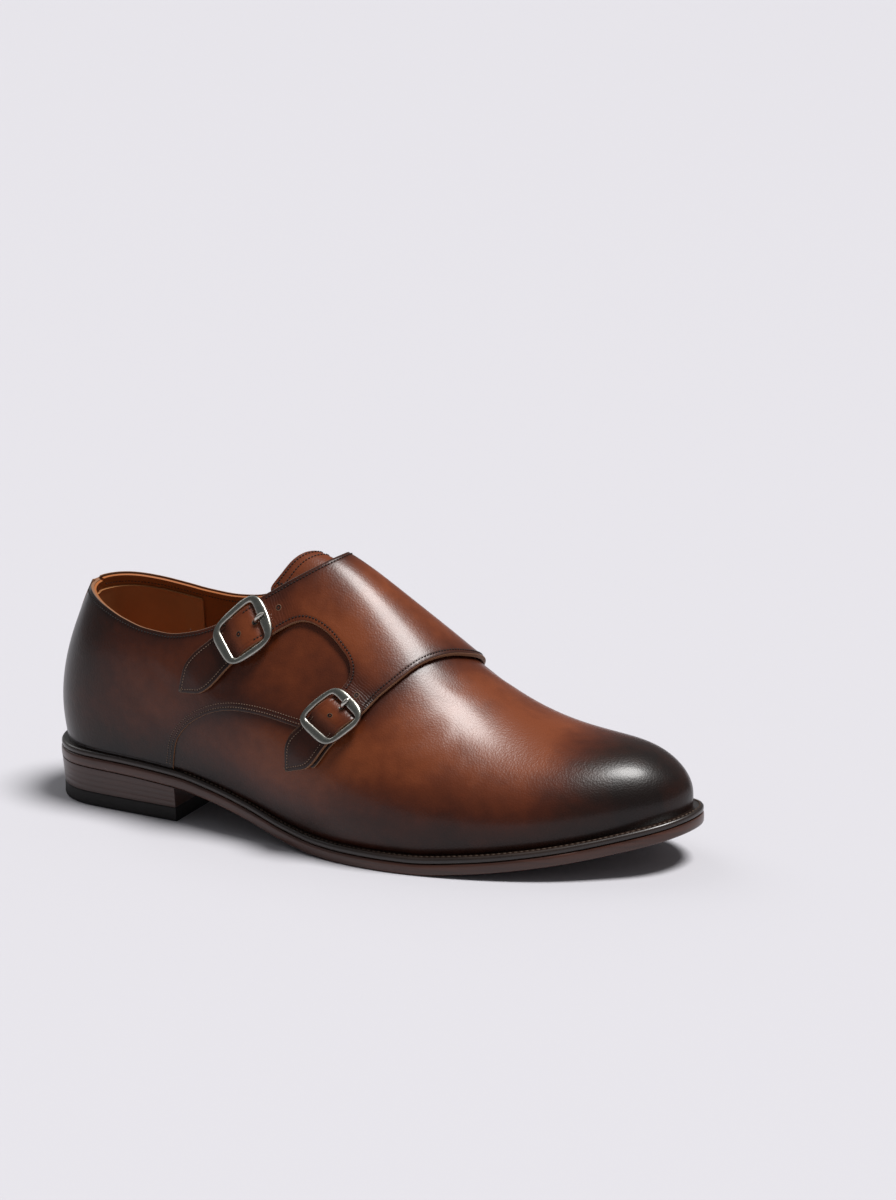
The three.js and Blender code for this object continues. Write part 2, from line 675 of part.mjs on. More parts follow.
const FRAME_TURNS = 36;
const FRAME_RING = 8;
const BAR_PLACES = [-1, -0.86, -0.4, 0, 0.4, 0.86, 1];
function buckle(rows) {
  const [turns, ring] = [FRAME_TURNS, FRAME_RING];
  const places = [];
  for (let i = 0; i < turns; i++)
    for (let j = 0; j < ring; j++) {
      const around = (2 * Math.PI * j) / ring;
      const point = framePoint((2 * Math.PI * i) / turns, 0.5 + 0.5 * Math.cos(around));
      const lift = BUCKLE.lift + (BUCKLE.thick / 2) * (1 + Math.sin(around));
      places.push({ ...point, lift });
    }
  const vertices = strapCurve(rows, places);
  const triangles = [];
  for (let i = 0; i < turns; i++)
    for (let j = 0; j < ring; j++) {
      const [a, b] = [i * ring + j, i * ring + ((j + 1) % ring)];
      const [c, d] = [((i + 1) % turns) * ring + j, ((i + 1) % turns) * ring + ((j + 1) % ring)];
      triangles.push(a, b, d, a, d, c);
    }
  const side = (BUCKLE.wide + BUCKLE.openWide) / 4;
  const bar = BAR_PLACES.map((k) => ({
    t: 0,
    v: k * side,
    lift: Math.abs(k) === 1 ? BUCKLE.lift + BUCKLE.thick / 2 : MIDDLE_BAR.lift,
  }));
  const middle = rod(strapCurve(rows, bar), MIDDLE_BAR.radius);
  return geometryOf(solid(meshOf(vertices, triangles)).add(solid(middle)));
}

const prong = (rows, radius) => rod(strapCurve(rows, PRONG.map((c) => ({ ...c, v: 0 }))), radius);

function strapFlap() {
  let flap = panel(FLAP, FLAP_LIFT, FLAP_LIFT + FLAP_THICK, FLAP_GRID);
  for (const name in STRAPS)
    flap = flap.add(strap(STRAPS[name])).subtract(solid(prong(STRAPS[name], PRONG_RADIUS + GAP)));
  return geometryOf(flap);
}

const tongue = () =>
  geometryOf(panel(TONGUE, -TONGUE_GAP - TONGUE_THICK, -TONGUE_GAP, TONGUE_GRID));

// ---------------------------------------------------------------- assembly
const finish = (color, roughness, metalness = 0) =>
  new THREE.MeshStandardMaterial({ color, roughness, metalness });
const CALF = finish(0x6e3620, 0.4);
const DARK_CALF = finish(0x3a1c12, 0.4);
const SOLE_EDGE = finish(0x4a2a20, 0.5);
const RUBBER = finish(0x1e1a18, 0.8);
const LINING = finish(0xa87444, 0.7);
const PEWTER = finish(0x8c8880, 0.3, 1);

const root = new THREE.Group();
const add = (name, geometry, material) => {
  const mesh = new THREE.Mesh(geometry, material);
  mesh.name = name;
  root.add(mesh);
};
add("outsole", outsole(), SOLE_EDGE);
add("welt", welt(), SOLE_EDGE);
add("heel_stack", heelStack(), SOLE_EDGE);
add("top_lift", topLift(), RUBBER);
add("insole", insole(), LINING);
add("upper", upper(), CALF);
add("tongue", tongue(), CALF);
add("strap_flap", strapFlap(), CALF);
for (const name in STRAPS) {
  add(`buckle_${name}`, buckle(STRAPS[name]), PEWTER);
  add(`prong_${name}`, prong(STRAPS[name], PRONG_RADIUS), PEWTER);
  add(`buckle_tab_${name}`, tab(STRAPS[name], TABS[name]), DARK_CALF);
}
export default root;
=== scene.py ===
"""A man's double monk strap shoe in burnished brown calf, dressed over its CAD frame.

Lengths are in millimetres until a mesh is made. On the leather, `at` runs from the back of
the sole to the toe and `girth` round the last from its ridge, lateral negative and medial
positive. Height above the last's surface is `lift`. In a flat pattern of the leather, `s` is
the length round the heel and along the side, in place of `at`. On a strap, `t` runs ahead from
the middle of its buckle, and `v` across it towards the toe.
"""

import math

import bmesh
import bpy
import numpy as np
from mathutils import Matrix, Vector
from mathutils.geometry import delaunay_2d_cdt


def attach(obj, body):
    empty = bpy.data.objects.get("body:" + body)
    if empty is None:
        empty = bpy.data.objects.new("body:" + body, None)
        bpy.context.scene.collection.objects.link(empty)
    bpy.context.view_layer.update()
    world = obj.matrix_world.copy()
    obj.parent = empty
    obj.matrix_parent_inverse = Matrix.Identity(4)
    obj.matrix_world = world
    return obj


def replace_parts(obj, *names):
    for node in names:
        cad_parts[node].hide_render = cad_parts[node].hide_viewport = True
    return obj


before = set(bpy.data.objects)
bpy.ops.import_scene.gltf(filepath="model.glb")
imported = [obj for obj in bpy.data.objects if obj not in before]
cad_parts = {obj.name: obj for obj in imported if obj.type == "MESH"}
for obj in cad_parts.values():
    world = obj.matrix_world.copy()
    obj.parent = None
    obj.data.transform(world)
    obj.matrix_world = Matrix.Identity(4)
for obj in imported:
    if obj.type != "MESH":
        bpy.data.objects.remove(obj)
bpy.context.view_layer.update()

# ---------- sizes
MM = 0.001
HEEL_CENTRE = 37.0  # from the back of the sole to the frame's origin
SOLE_THICK = 5.0
WELT_THICK = 3.0
HEEL_BREAST = 74.0
TOP_LIFT_THICK = 6.5
HEEL_LEAN_REACH = 100.0
SIDES = (("lateral", -1), ("medial", 1))  # with the sign of girth and of y there
FINE = 0.8  # spacing of points along an outline


def table(names, *rows):
    """Columns by name, from rows of numbers."""
    columns = zip(*rows)
    return {name: np.array(column, float) for name, column in zip(names.split(), columns)}


UNDERSIDE = table(
    "at height",
    (0, 18.4), (40, 18), (74, 16.2), (94, 12.8), (114, 8.2), (134, 3), (152, 0.4),
    (166, 0), (196, 0), (222, 2), (246, 5.3), (268, 9.2), (286, 13), (306.4, 17.6),
)
SOLE = table(
    "at lateral medial",
    (0.8, 0, 0), (5.2, -16.5, 16.5), (15.5, -26.6, 26.2), (34, -31, 30.6), (58, -33, 31.2),
    (84, -35.2, 29.6), (110, -39.2, 28), (136, -45.6, 31), (162, -52, 38), (188, -54, 46),
    (214, -50.6, 49.8), (240, -43.6, 49), (262, -34.6, 45), (282, -22.6, 38),
    (298.4, -9, 27.8), (306.4, 11.5, 11.5),
)
LAST = table(
    "at lateral medial ridge lean bulge rise full_lateral full_medial",
    (5.6, 0, 0, 122, 0, 1.5, 18, 0.7, 0.7),
    (9.6, -13.5, 13.5, 122.5, 0, 2, 18, 0.7, 0.7),
    (19, -22.2, 22, 123, 0, 2.4, 18, 0.71, 0.71),
    (35, -26.4, 26, 124, 0, 3, 18, 0.72, 0.72),
    (58, -28.4, 26.6, 125, 1, 3.4, 18, 0.71, 0.72),
    (84, -30.6, 25.4, 125.5, 2, 4, 18, 0.69, 0.7),
    (108, -34, 23.8, 125, 3, 4.4, 17, 0.66, 0.7),
    (128, -38, 24.4, 122.4, 3.6, 4.2, 16, 0.65, 0.7),
    (146, -42.4, 27.6, 114.6, 4.4, 3.8, 14, 0.64, 0.7),
    (166, -46.8, 33, 101.4, 5.4, 3.4, 12.5, 0.645, 0.7),
    (186, -48, 38.6, 86.8, 6.4, 3, 11, 0.655, 0.71),
    (206, -45.6, 42.6, 71.4, 7.4, 2.6, 10, 0.665, 0.715),
    (226, -41, 43.2, 59.8, 8.2, 2.4, 9, 0.68, 0.72),
    (246, -34.6, 41.6, 53.2, 9, 2.2, 8.5, 0.69, 0.72),
    (264, -26.4, 38, 50.4, 10, 2, 8, 0.7, 0.72),
    (280, -15.8, 32, 47.6, 10.6, 1.8, 7.5, 0.7, 0.72),
    (292.5, -4, 23.4, 40.8, 11, 1.6, 7, 0.7, 0.72),
    (299.4, 11.5, 11.5, 31, 11.5, 1.4, 5, 0.7, 0.7),
)
HEEL_LEAN = table(
    "above inward",
    (0, 1), (16, 0), (31, 1.6), (44, 4.6), (56, 8.4), (67, 12.6), (77, 17.4), (98, 28),
)
TOPLINE = table(
    "at lateral medial",
    (-20, 101, 101), (14, 99.4, 100.4), (24, 97.4, 99.2), (36, 94, 96.4), (48, 90.2, 93.6),
    (60, 87.4, 91.4), (72, 86.6, 90.6), (84, 88.6, 91.6), (96, 93, 95), (110, 101, 102),
    (126, 113, 113), (150, 132, 132), (170, 148, 148),
)

# A strap's edges, from its tip to where it leaves the flap.
STRAP_EDGES = "t heel_at heel_girth toe_at toe_girth"
STRAPS = {
    "upper": table(
        STRAP_EDGES,
        (-40.5, 79.8, -73.4, 80.8, -74.4),
        (-31.5, 82.6, -62.6, 91.8, -72.6),
        (-13.5, 94.6, -49.8, 105.2, -59.9),
        (0, 104.8, -40.6, 114.9, -51.8),
        (13, 114.8, -32.6, 125, -43.6),
        (19, 119.6, -29, 129.6, -39.9),
    ),
    "lower": table(
        STRAP_EDGES,
        (-39.5, 138.2, -95.8, 139.8, -96.4),
        (-30, 138.8, -84.4, 149.8, -88.6),
        (-14, 144.4, -73.4, 157.4, -76),
        (0, 152, -61.8, 165.2, -63.6),
        (13, 159.4, -50.6, 171.6, -53.2),
        (18, 160.8, -45.8, 174.6, -47),
    ),
}
STRAP_LIFT = table(
    "t lift",
    (-40.5, 3), (-34, 3.5), (-28, 4), (-20, 4.2), (-8.6, 4.2), (-4.2, 5.8), (0, 6.6), (4.2, 6.1),
    (8.6, 4.2), (13, 3.9), (19, 3), (36, 3),
)
STRAP_HALF = 7.7
STRAP_ROOT = 13.0  # t where a strap's sides join the flap's edges
STRAP_THICK = 1.8
FLAP_LIFT = 3.0
FLAP_THICK = 2.0
# t over at and girth: its change along each, and its value where both are 0.
STRAP_AXIS = {"upper": (0.77, 0.64, -55.3), "lower": (0.1508, 1.106, 45.4)}
BUCKLE = {"long": 25.4, "wide": 22, "open": 16.6, "thick": 2.2, "lift": 6.3}
MIDDLE_BAR = {"radius": 0.8, "lift": 5.3}
NOTCH = {"depth": 0.45, "width": 1.5}  # for the pin, in the front bar
INNER_CORNER, OUTER_CORNER = 8.0, 3.3  # powers of the frame's outline: the higher, the squarer
PRONG = table("t lift", (1.6, 5.3), (4, 5.1), (6, 6.2), (7.8, 8.8), (10, 9.5), (11.6, 9.3))
PRONG_RADIUS = table("t radius", (1.6, 1), (10.6, 0.9), (11.6, 0.5))
TABS = {"upper": (-20, 3, 6.4), "lower": (-27.5, 3, 8.9)}  # t at both ends, and half the width
HOLES = {"upper": (-1.6, 6.3, 17.0), "lower": (0.0, 6.3, 14.5)}  # t; the pin is in the middle one
VAMP_TOP, VAMP_UNDER = 2.1, 1.2
QUARTER_TOP = 2.8
LINING_TOP = 1.2
TONGUE_TOP, TONGUE_UNDER = -0.6, -2.3
TAB_TOP, TAB_UNDER = 3.9, 2.85
HEEL_STRIP_TOP, HEEL_STRIP_UNDER = 3.5, 2.4
GRIP_TOP, GRIP_UNDER = -0.7, 0.15
DARK_PITCH, PALE_PITCH, WELT_PITCH = 1.55, 1.35, 2.4
SEAM_GAPS, LINING_GAP, WELT_GAP = (1.5, 3.3), 2.6, 1.9  # from the edge to the stitches
TIP_ROW = 34.0  # how far the pale stitches run up each side of a strap's tip


# ---------- curves
def interval(knots, t):
    """For each t, its interval between knots, the interval's length, and t's share of it."""
    i = np.clip(np.searchsorted(knots, t) - 1, 0, len(knots) - 2)
    h = knots[i + 1] - knots[i]
    return i, h, (t - knots[i]) / h


class Spline:
    """A cubic spline through values at knots, its ends free or flat."""

    def __init__(self, knots, values, flat_start=False, flat_end=False):
        x, y = np.asarray(knots, float), np.asarray(values, float)
        n, h = len(x), np.diff(x)
        slope = np.diff(y, axis=0) / (h if y.ndim == 1 else h[:, None])
        left, right = np.zeros((n, n)), np.zeros(y.shape)
        left[0, 0] = left[-1, -1] = 1
        for i in range(1, n - 1):
            left[i, i - 1 : i + 2] = h[i - 1], 2 * (h[i - 1] + h[i]), h[i]
            right[i] = 6 * (slope[i] - slope[i - 1])
        if flat_start:
            left[0, :2] = 2 * h[0], h[0]
            right[0] = 6 * slope[0]
        if flat_end:
            left[-1, -2:] = h[-1], 2 * h[-1]
            right[-1] = -6 * slope[-1]
        self.x, self.y, self.bend = x, y, np.linalg.solve(left, right)

    def __call__(self, t):
        t = np.asarray(t, float)
        i, h, b = interval(self.x, t)
        a = (self.x[i + 1] - t) / h
        ca, cb = (a**3 - a) * h * h / 6, (b**3 - b) * h * h / 6
        if self.y.ndim > 1:
            a, b, ca, cb = (k[..., None] for k in (a, b, ca, cb))
        return a * self.y[i] + b * self.y[i + 1] + ca * self.bend[i] + cb * self.bend[i + 1]


class Steady:
    """A curve through values at knots that never overshoots them."""

    def __init__(self, knots, values):
        slope = np.diff(values) / np.diff(knots)
        a, b = slope[:-1], slope[1:]
        inner = np.where(a * b <= 0, 0, 2 * a * b / np.where(a + b == 0, 1, a + b))
        self.x, self.y = knots, values
        self.tangent = np.concatenate([slope[:1], inner, slope[-1:]])

    def __call__(self, t):
        i, h, w = interval(self.x, np.asarray(t, float))
        rise = (self.y[i + 1] - self.y[i]) * (3 - 2 * w) * w * w
        sway = (1 - w) * self.tangent[i] - w * self.tangent[i + 1]
        return self.y[i] + rise + h * w * (1 - w) * sway


def fade(t):
    """From 0 to 1, smooth at both ends."""
    t = np.clip(t, 0, 1)
    return t * t * (3 - 2 * t)


def unit(steps):
    return steps / (np.linalg.norm(steps, axis=-1, keepdims=True) + 1e-12)


def bell(distance, width):
    return np.exp(-((distance / width) ** 2))


underside = Steady(UNDERSIDE["at"], UNDERSIDE["height"])


def seat_height(at):
    return underside(at) + SOLE_THICK + WELT_THICK


def side_lengths(rows):
    """Length along an outline's sides, from its back to each row."""
    d = [np.hypot(np.diff(rows["at"]), np.diff(rows[side])) for side, _ in SIDES]
    return np.concatenate([[0], np.cumsum((d[0] + d[1]) / 2)])


# ---------- the last's surface
LENGTH = side_lengths(LAST)[-1]
COLUMNS, ROWS = 480, 361
P, Q = np.linspace(0, 1, COLUMNS), np.linspace(-1, 1, ROWS)
FULL_BULGE_WIDTH = 24.0


def build_last():
    """The last's points and outward normals over p along the shoe and q round it."""
    knots = side_lengths(LAST) / LENGTH
    flat_ends = {"lateral": (False, False), "medial": (False, False), "ridge": (True, False)}
    row = {n: Spline(knots, LAST[n], *flat_ends.get(n, (True, True)))(P) for n in LAST}
    lean_in = Spline(HEEL_LEAN["above"], HEEL_LEAN["inward"])
    points, girths = np.zeros((COLUMNS, ROWS, 3)), np.zeros((COLUMNS, 2))
    for i in range(COLUMNS):
        s = {n: row[n][i] for n in row}
        seat = float(seat_height(s["at"]))
        belly = seat + s["rise"]
        bulge = s["bulge"] * np.clip((s["medial"] - s["lateral"]) / FULL_BULGE_WIDTH, 0, 1)

        def side(edge, full, sign):
            out = edge + sign * bulge
            shoulder = (s["lean"] + (out - s["lean"]) * full, belly + (s["ridge"] - belly) * full)
            return [(edge, seat), (out, belly), shoulder]

        lateral = side(s["lateral"], s["full_lateral"], -1)
        medial = side(s["medial"], s["full_medial"], 1)
        corners = np.array(lateral + [(s["lean"], s["ridge"])] + medial[::-1])
        chord = np.hypot(*np.diff(corners, axis=0).T)
        left, right = chord[:3].sum(), chord[3:].sum()
        outer = [-1, -1 + chord[0] / left, -chord[2] / left]
        inner = [chord[3] / right, 1 - chord[5] / right, 1]
        y, z = Spline([*outer, 0, *inner], corners)(Q).T
        x = s["at"] + lean_in(z - seat) * (1 - fade(s["at"] / HEEL_LEAN_REACH)) - HEEL_CENTRE
        points[i] = np.stack([x, y, z], -1)
        girths[i] = left, right
    normals = np.cross(np.gradient(points, axis=0), np.gradient(points, axis=1))
    middle, near_ridge = ROWS // 2, 12
    for end in (0, -1):  # where the two sides meet
        normals[end] += normals[end, ::-1] * (1, -1, 1)
        beside = slice(middle - near_ridge, middle + near_ridge + 1)
        normals[end, beside] = normals[end, middle - near_ridge]
    return row["at"], points, unit(normals), girths


AT, LAST_POINTS, LAST_NORMALS, GIRTHS = build_last()


def on_last(p, q, lift=0.0):
    """Points and normals at lift above the last."""
    fi = np.clip(np.asarray(p, float), 0, 1) * (COLUMNS - 1)
    fj = (np.clip(np.asarray(q, float), -1, 1) + 1) / 2 * (ROWS - 1)
    i, j = np.minimum(fi.astype(int), COLUMNS - 2), np.minimum(fj.astype(int), ROWS - 2)
    a, b = (fi - i)[..., None], (fj - j)[..., None]

    def blend(grid):
        near = grid[i, j] * (1 - a) + grid[i + 1, j] * a
        far = grid[i, j + 1] * (1 - a) + grid[i + 1, j + 1] * a
        return near * (1 - b) + far * b

    normal = unit(blend(LAST_NORMALS))
    return blend(LAST_POINTS) + normal * np.asarray(lift, float)[..., None], normal


def q_of(p, girth):
    lateral, medial = np.interp(p, P, GIRTHS[:, 0]), np.interp(p, P, GIRTHS[:, 1])
    return np.where(girth < 0, girth / lateral, girth / medial)


def s_of(at):
    return np.interp(at, AT, P) * LENGTH


def at_of(s):
    return np.interp(np.asarray(s) / LENGTH, P, AT)


def on_leather(flat, lift):
    """Points and normals for places (s, girth) of the flat pattern."""
    p = flat[:, 0] / LENGTH
    return on_last(p, q_of(p, flat[:, 1]), lift)


def on_heel_back(flat, lift):
    """The same for a strip over the heel's back, where s is negative on the lateral side."""
    girth = np.where(flat[:, 0] < 0, -flat[:, 1], flat[:, 1])
    return on_leather(np.stack([np.abs(flat[:, 0]), girth], -1), lift)


# ---------- outlines on the flat leather
def length_along(points):
    return np.concatenate([[0], np.cumsum(np.linalg.norm(np.diff(points, axis=0), axis=1))])


def spread(where, d, values):
    """Values along a line, at these distances along it."""
    return np.stack([np.interp(where, d, column) for column in values.T], -1)


def even(points, spacing=FINE):
    """The same polyline with points that lie evenly."""
    points = np.asarray(points, float)
    d = length_along(points)
    return spread(np.linspace(0, d[-1], max(2, int(round(d[-1] / spacing)) + 1)), d, points)


def curve(*places):
    """A smooth line through places (at, girth), as places (s, girth)."""
    flat = np.array([(float(s_of(at)), girth) for at, girth in places])
    d = length_along(flat)
    return even(Spline(d, flat)(np.linspace(0, d[-1], 40 * len(flat))))


def straight(*places):
    return even([(float(s_of(at)), girth) for at, girth in places])


def join(*parts):
    """One line of several that follow each other, without double points."""
    line = np.concatenate(parts)
    keep = np.concatenate([[True], np.linalg.norm(np.diff(line, axis=0), axis=1) > 0.05])
    return line[keep]


def soften(loop, rounds=2):
    """A closed line with its corners slightly rounded."""
    for _ in range(rounds):
        loop = (np.roll(loop, 1, axis=0) + 2 * loop + np.roll(loop, -1, axis=0)) / 4
    return loop


def leftward(line, closed=False):
    """The unit normals to the left of a line."""
    if closed:
        step = np.roll(line, -1, axis=0) - np.roll(line, 1, axis=0)
    else:
        step = np.gradient(line, axis=0)
    return unit(np.stack([-step[:, 1], step[:, 0]], -1))


def beside(line, distance):
    """A line at this distance to the left of another, or to its right where negative."""
    return even(line + leftward(line) * distance, 0.5)


def topline(side, sign, until):
    """The collar's edge from the middle of the heel's back to `until`, as (s, girth)."""
    height = Steady(TOPLINE["at"], TOPLINE[side])
    middle = ROWS // 2
    half = (LAST_POINTS + LAST_NORMALS * VAMP_TOP)[:, ::-sign][:, : middle + 1]
    edge = []
    for i in range(np.searchsorted(AT, until) + 1):
        above = half[i, :, 2] - height(half[i, :, 0] + HEEL_CENTRE)
        j = int(np.argmax(above > 0))
        q = 1 - (j - above[j] / (above[j] - above[j - 1])) / middle
        edge.append((P[i] * LENGTH, sign * q * GIRTHS[i, int(sign > 0)]))
    return np.array(edge)


# Where the vamp and the lining end under the flap, as girth on each side.
UNDER_FLAP = table(
    "at lateral medial",
    (104, 42, 36), (110, 39.5, 34), (116, 37, 31), (124, 32, 26), (132, 25, 20), (138, 17, 14),
    (144, 7, 7), (148, 0, 0),
)
COLLAR_END = 126.0
COLLAR = {side: topline(side, sign, COLLAR_END) for side, sign in SIDES}
RIM_END = 106.0  # where the collar's edge has gone under the flap


def rim_until(side, end=RIM_END):
    """The collar's edge from the heel's back to this distance along the shoe."""
    rim = COLLAR[side]
    return rim[at_of(rim[:, 0]) < end]


def feather(sign, start, end):
    """A side's bottom edge on the last between two distances along the shoe."""
    p = s_of(np.linspace(start, end, 120)) / LENGTH
    return np.stack([p * LENGTH, sign * np.interp(p, P, GIRTHS[:, int(sign > 0)])], -1)


SEAM_FOOT = 73.0  # where the quarters' seams reach the sole
HEEL_BACK = float(AT[0])
QUARTER_SEAM = {
    "lateral": curve(
        (73, -113), (73.4, -110), (74.8, -104.7), (77, -98), (82.1, -91), (89.4, -84.9),
        (96.4, -81.1), (106.4, -78), (116.4, -77.2), (129.6, -76.6), (142.5, -74.7), (152, -71),
        (160, -62), (167, -52), (171, -44), (176, -34), (180, -22), (178, -8),
    ),
    "medial": curve(
        (175.5, 58), (163, 62.6), (150, 66), (125, 72), (108, 74.6), (96, 77.6), (85, 84.4),
        (78, 92), (74, 101), (73, 110),
    ),
}
CUT_OUT = curve(
    (125, -43.6), (129.7, -39.9), (135.2, -37.2), (140.8, -36.5), (147, -37), (154.7, -39.2),
    (158.4, -40.9), (160.2, -43), (160.6, -46.8), (159.4, -50.6),
)
FLAP_TOP = curve(
    (108, 30.4), (116, 25.8), (124, 20), (131, 14), (136.6, 7.4), (139.6, 0), (137.4, -9.9),
    (130.2, -20.2), (120.4, -28.6), (114.8, -32.6),
)
FLAP_FRONT = curve(
    (171.6, -53.2), (174.2, -46.9), (177.8, -40.2), (181.9, -32), (185.8, -23.5), (189.8, -15.3),
    (193.9, -6.4), (196.8, 1), (198, 10), (196.5, 20), (192.5, 30), (187, 40), (181, 50),
    (175.5, 58),
)
TONGUE_EDGE = curve(
    (160, -26), (140, -29), (118, -30.4), (114.4, -29), (116, -24.6), (120, -15.7), (124.6, -6.6),
    (127.6, 1), (126.6, 8), (122.6, 15), (118.4, 21.5), (116, 27), (119, 31), (130, 32), (150, 30),
    (164, 26),
)


def strap_place(name, t, v):
    """Places (t, v) of a strap, as (s, girth)."""
    rows = STRAPS[name]
    edge = {k: Spline(rows["t"], rows[k])(t) for k in rows if k != "t"}
    share = (np.asarray(v, float) / STRAP_HALF + 1) / 2
    at = edge["heel_at"] + (edge["toe_at"] - edge["heel_at"]) * share
    girth = edge["heel_girth"] + (edge["toe_girth"] - edge["heel_girth"]) * share
    return np.stack([s_of(at), girth], -1)


def strap_side(name, v):
    t = np.arange(STRAPS[name]["t"][1], STRAP_ROOT + 0.01, FINE)
    return strap_place(name, t, v)


def strap_end(name):
    """Round a strap's pointed tip, from its heel side to its toe side."""
    point = strap_place(name, STRAPS[name]["t"][0] + 0.6, 0)
    heel, toe = strap_side(name, -STRAP_HALF), strap_side(name, STRAP_HALF)
    return join(heel[::-1], even([heel[0], point]), even([point, toe[0]]), toe)


def flap_outline():
    """Round the medial quarter with its flap and its straps."""
    rim, foot = rim_until("medial"), feather(1, SEAM_FOOT, HEEL_BACK)
    back = np.array([(0.0, foot[-1, 1]), (0.0, rim[0, 1])])
    front = [FLAP_TOP, strap_end("upper"), CUT_OUT, strap_end("lower"), FLAP_FRONT]
    return join(rim, *front, QUARTER_SEAM["medial"], foot, back)


# ---------- lift and tone of the leather
CREASES = table(
    "at girth to_at to_girth depth width",
    (187, -58, 203, -34, 0.14, 2.4), (194, -66, 212, -40, 0.18, 2.6),
    (203, -70, 219, -48, 0.15, 2.4), (213, -66, 227, -42, 0.1, 2.2), (190, -24, 208, -10, 0.1, 2.6),
    (199, 6, 212, 26, 0.12, 2.8), (206, 22, 214, 52, 0.15, 2.8), (198, 44, 206, 72, 0.15, 2.8),
    (60, -62, 82, -78, 0.14, 3.0), (52, -76, 70, -90, 0.12, 3.0), (96, -70, 112, -66, 0.16, 2.2),
    (118, -62, 130, -52, 0.18, 2.0), (122, -68, 140, -62, 0.15, 2.4),
    (128, -32, 138, -24, 0.16, 1.8), (144, -30, 158, -30, 0.12, 2.2), (60, 70, 84, 86, 0.15, 3.0),
)


def creases(at, girth):
    """How far the worn folds sink into the leather."""
    depth = np.zeros(np.shape(at))
    for row in zip(*CREASES.values()):
        a, b, deep, wide = np.array(row[:2]), np.array(row[2:4]), row[4], row[5]
        along = b - a
        share = ((at - a[0]) * along[0] + (girth - a[1]) * along[1]) / (along @ along)
        share = np.clip(share, 0, 1)
        bow = 3.0 * np.sin(math.pi * share)  # a fold is never straight
        off_at = at - a[0] - along[0] * share - bow * 0.6
        off = np.hypot(off_at, girth - a[1] - along[1] * share + bow * 0.4)
        across = bell(off, wide) - 0.55 * bell(off - 1.9 * wide, wide)
        depth += deep * across * np.sin(math.pi * share) ** 0.7
    return depth


strap_lift = Steady(STRAP_LIFT["t"], STRAP_LIFT["lift"])
STRAP_ZONE = 133.0  # the two straps lie behind and ahead of this
STRAP_SIDE = -25.0  # and on the lateral side of this


FLAP_START, FLAP_FOOT = 108.0, 60.0  # the at and the girth where the flap begins


def strap_t(at, girth):
    """How far ahead of its buckle a place on either strap is."""
    upper, lower = (a * at + b * girth + c for a, b, c in STRAP_AXIS.values())
    first, last = STRAP_LIFT["t"][[0, -1]]
    t = np.where(at < STRAP_ZONE, upper, lower)
    return np.where(girth < STRAP_SIDE, np.clip(t, first, last), last)


def flap_share(at, girth):
    """0 where the medial quarter lies on the vamp, 1 where it is the flap or a strap."""
    forward = at - FLAP_START + 1.5 * np.maximum(0, -girth)
    return fade((FLAP_FOOT - girth) / 35) * fade(forward / 20)


def flap_under(flat):
    at, girth = at_of(flat[:, 0]), flat[:, 1]
    share = flap_share(at, girth)
    rest = VAMP_TOP + (FLAP_LIFT - VAMP_TOP) * share
    return rest + (strap_lift(strap_t(at, girth)) - FLAP_LIFT) * (girth < STRAP_SIDE)


def flap_top(flat):
    at, girth = at_of(flat[:, 0]), flat[:, 1]
    share = flap_share(at, girth)
    on_strap = fade((STRAP_ROOT + 6 - strap_t(at, girth)) / 6)
    thick = QUARTER_TOP - VAMP_TOP + (FLAP_THICK - QUARTER_TOP + VAMP_TOP) * share
    thick -= (FLAP_THICK - STRAP_THICK) * on_strap
    return flap_under(flat) + thick - creases(at, girth) * (1 - 0.5 * on_strap)


def quarter_top(flat):
    return QUARTER_TOP - creases(at_of(flat[:, 0]), flat[:, 1])


def level(lift):
    return lambda flat: np.full(len(flat), float(lift))


TOE_POLISH = {"strength": 0.85, "start": 236, "over": 42}
HEEL_POLISH = {"strength": 0.8, "start": 66, "over": -56}
# The darkening near the welt is partly polish and partly painted shade on the lower sides; its
# extra reach on the lateral forepart is painted shade.
FOOT_POLISH_AND_SHADE = {"strength": 0.74, "height": 26, "more": 18}  # more on the forepart's lateral side


def polish_and_shade(flat, point):
    """How dark the polish and the painted shade are, from 0 in the open to 1 at the toe, the heel
    and the welt.
    """
    at, girth = at_of(flat[:, 0]), flat[:, 1]
    above = point[:, 2] - seat_height(point[:, 0] + HEEL_CENTRE)
    toe, heel = (
        k["strength"] * fade((at - k["start"]) / k["over"]) for k in (TOE_POLISH, HEEL_POLISH)
    )
    # Darker towards the welt: polish, and painted shade that reaches higher on the lateral
    # forepart.
    reach = FOOT_POLISH_AND_SHADE["height"] + FOOT_POLISH_AND_SHADE["more"] * fade((at - 150) / 30) * (girth < 0)
    foot = FOOT_POLISH_AND_SHADE["strength"] * fade((reach - above) / reach)
    return 1 - (1 - toe) * (1 - heel) * (1 - foot)


DARK = 0.7  # the tone of the tabs and the heel's strip


def even_tone(tone):
    """Tones for a panel that is burnished alike all over."""
    return lambda flat, point, edge: np.full(len(flat), tone)


# ---------- meshes
SHARP = math.radians(50)


def placed(name, data):
    made = bpy.data.objects.new(name, data)
    bpy.context.scene.collection.objects.link(made)
    return made


def on_shoe(name, mesh, slot):
    """An object of the shoe's one body. The slot is not used."""
    made = placed(name, mesh)
    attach(made, "root")
    return made


def evaluated(made):
    bpy.context.view_layer.update()
    return bpy.data.meshes.new_from_object(
        made.evaluated_get(bpy.context.evaluated_depsgraph_get())
    )


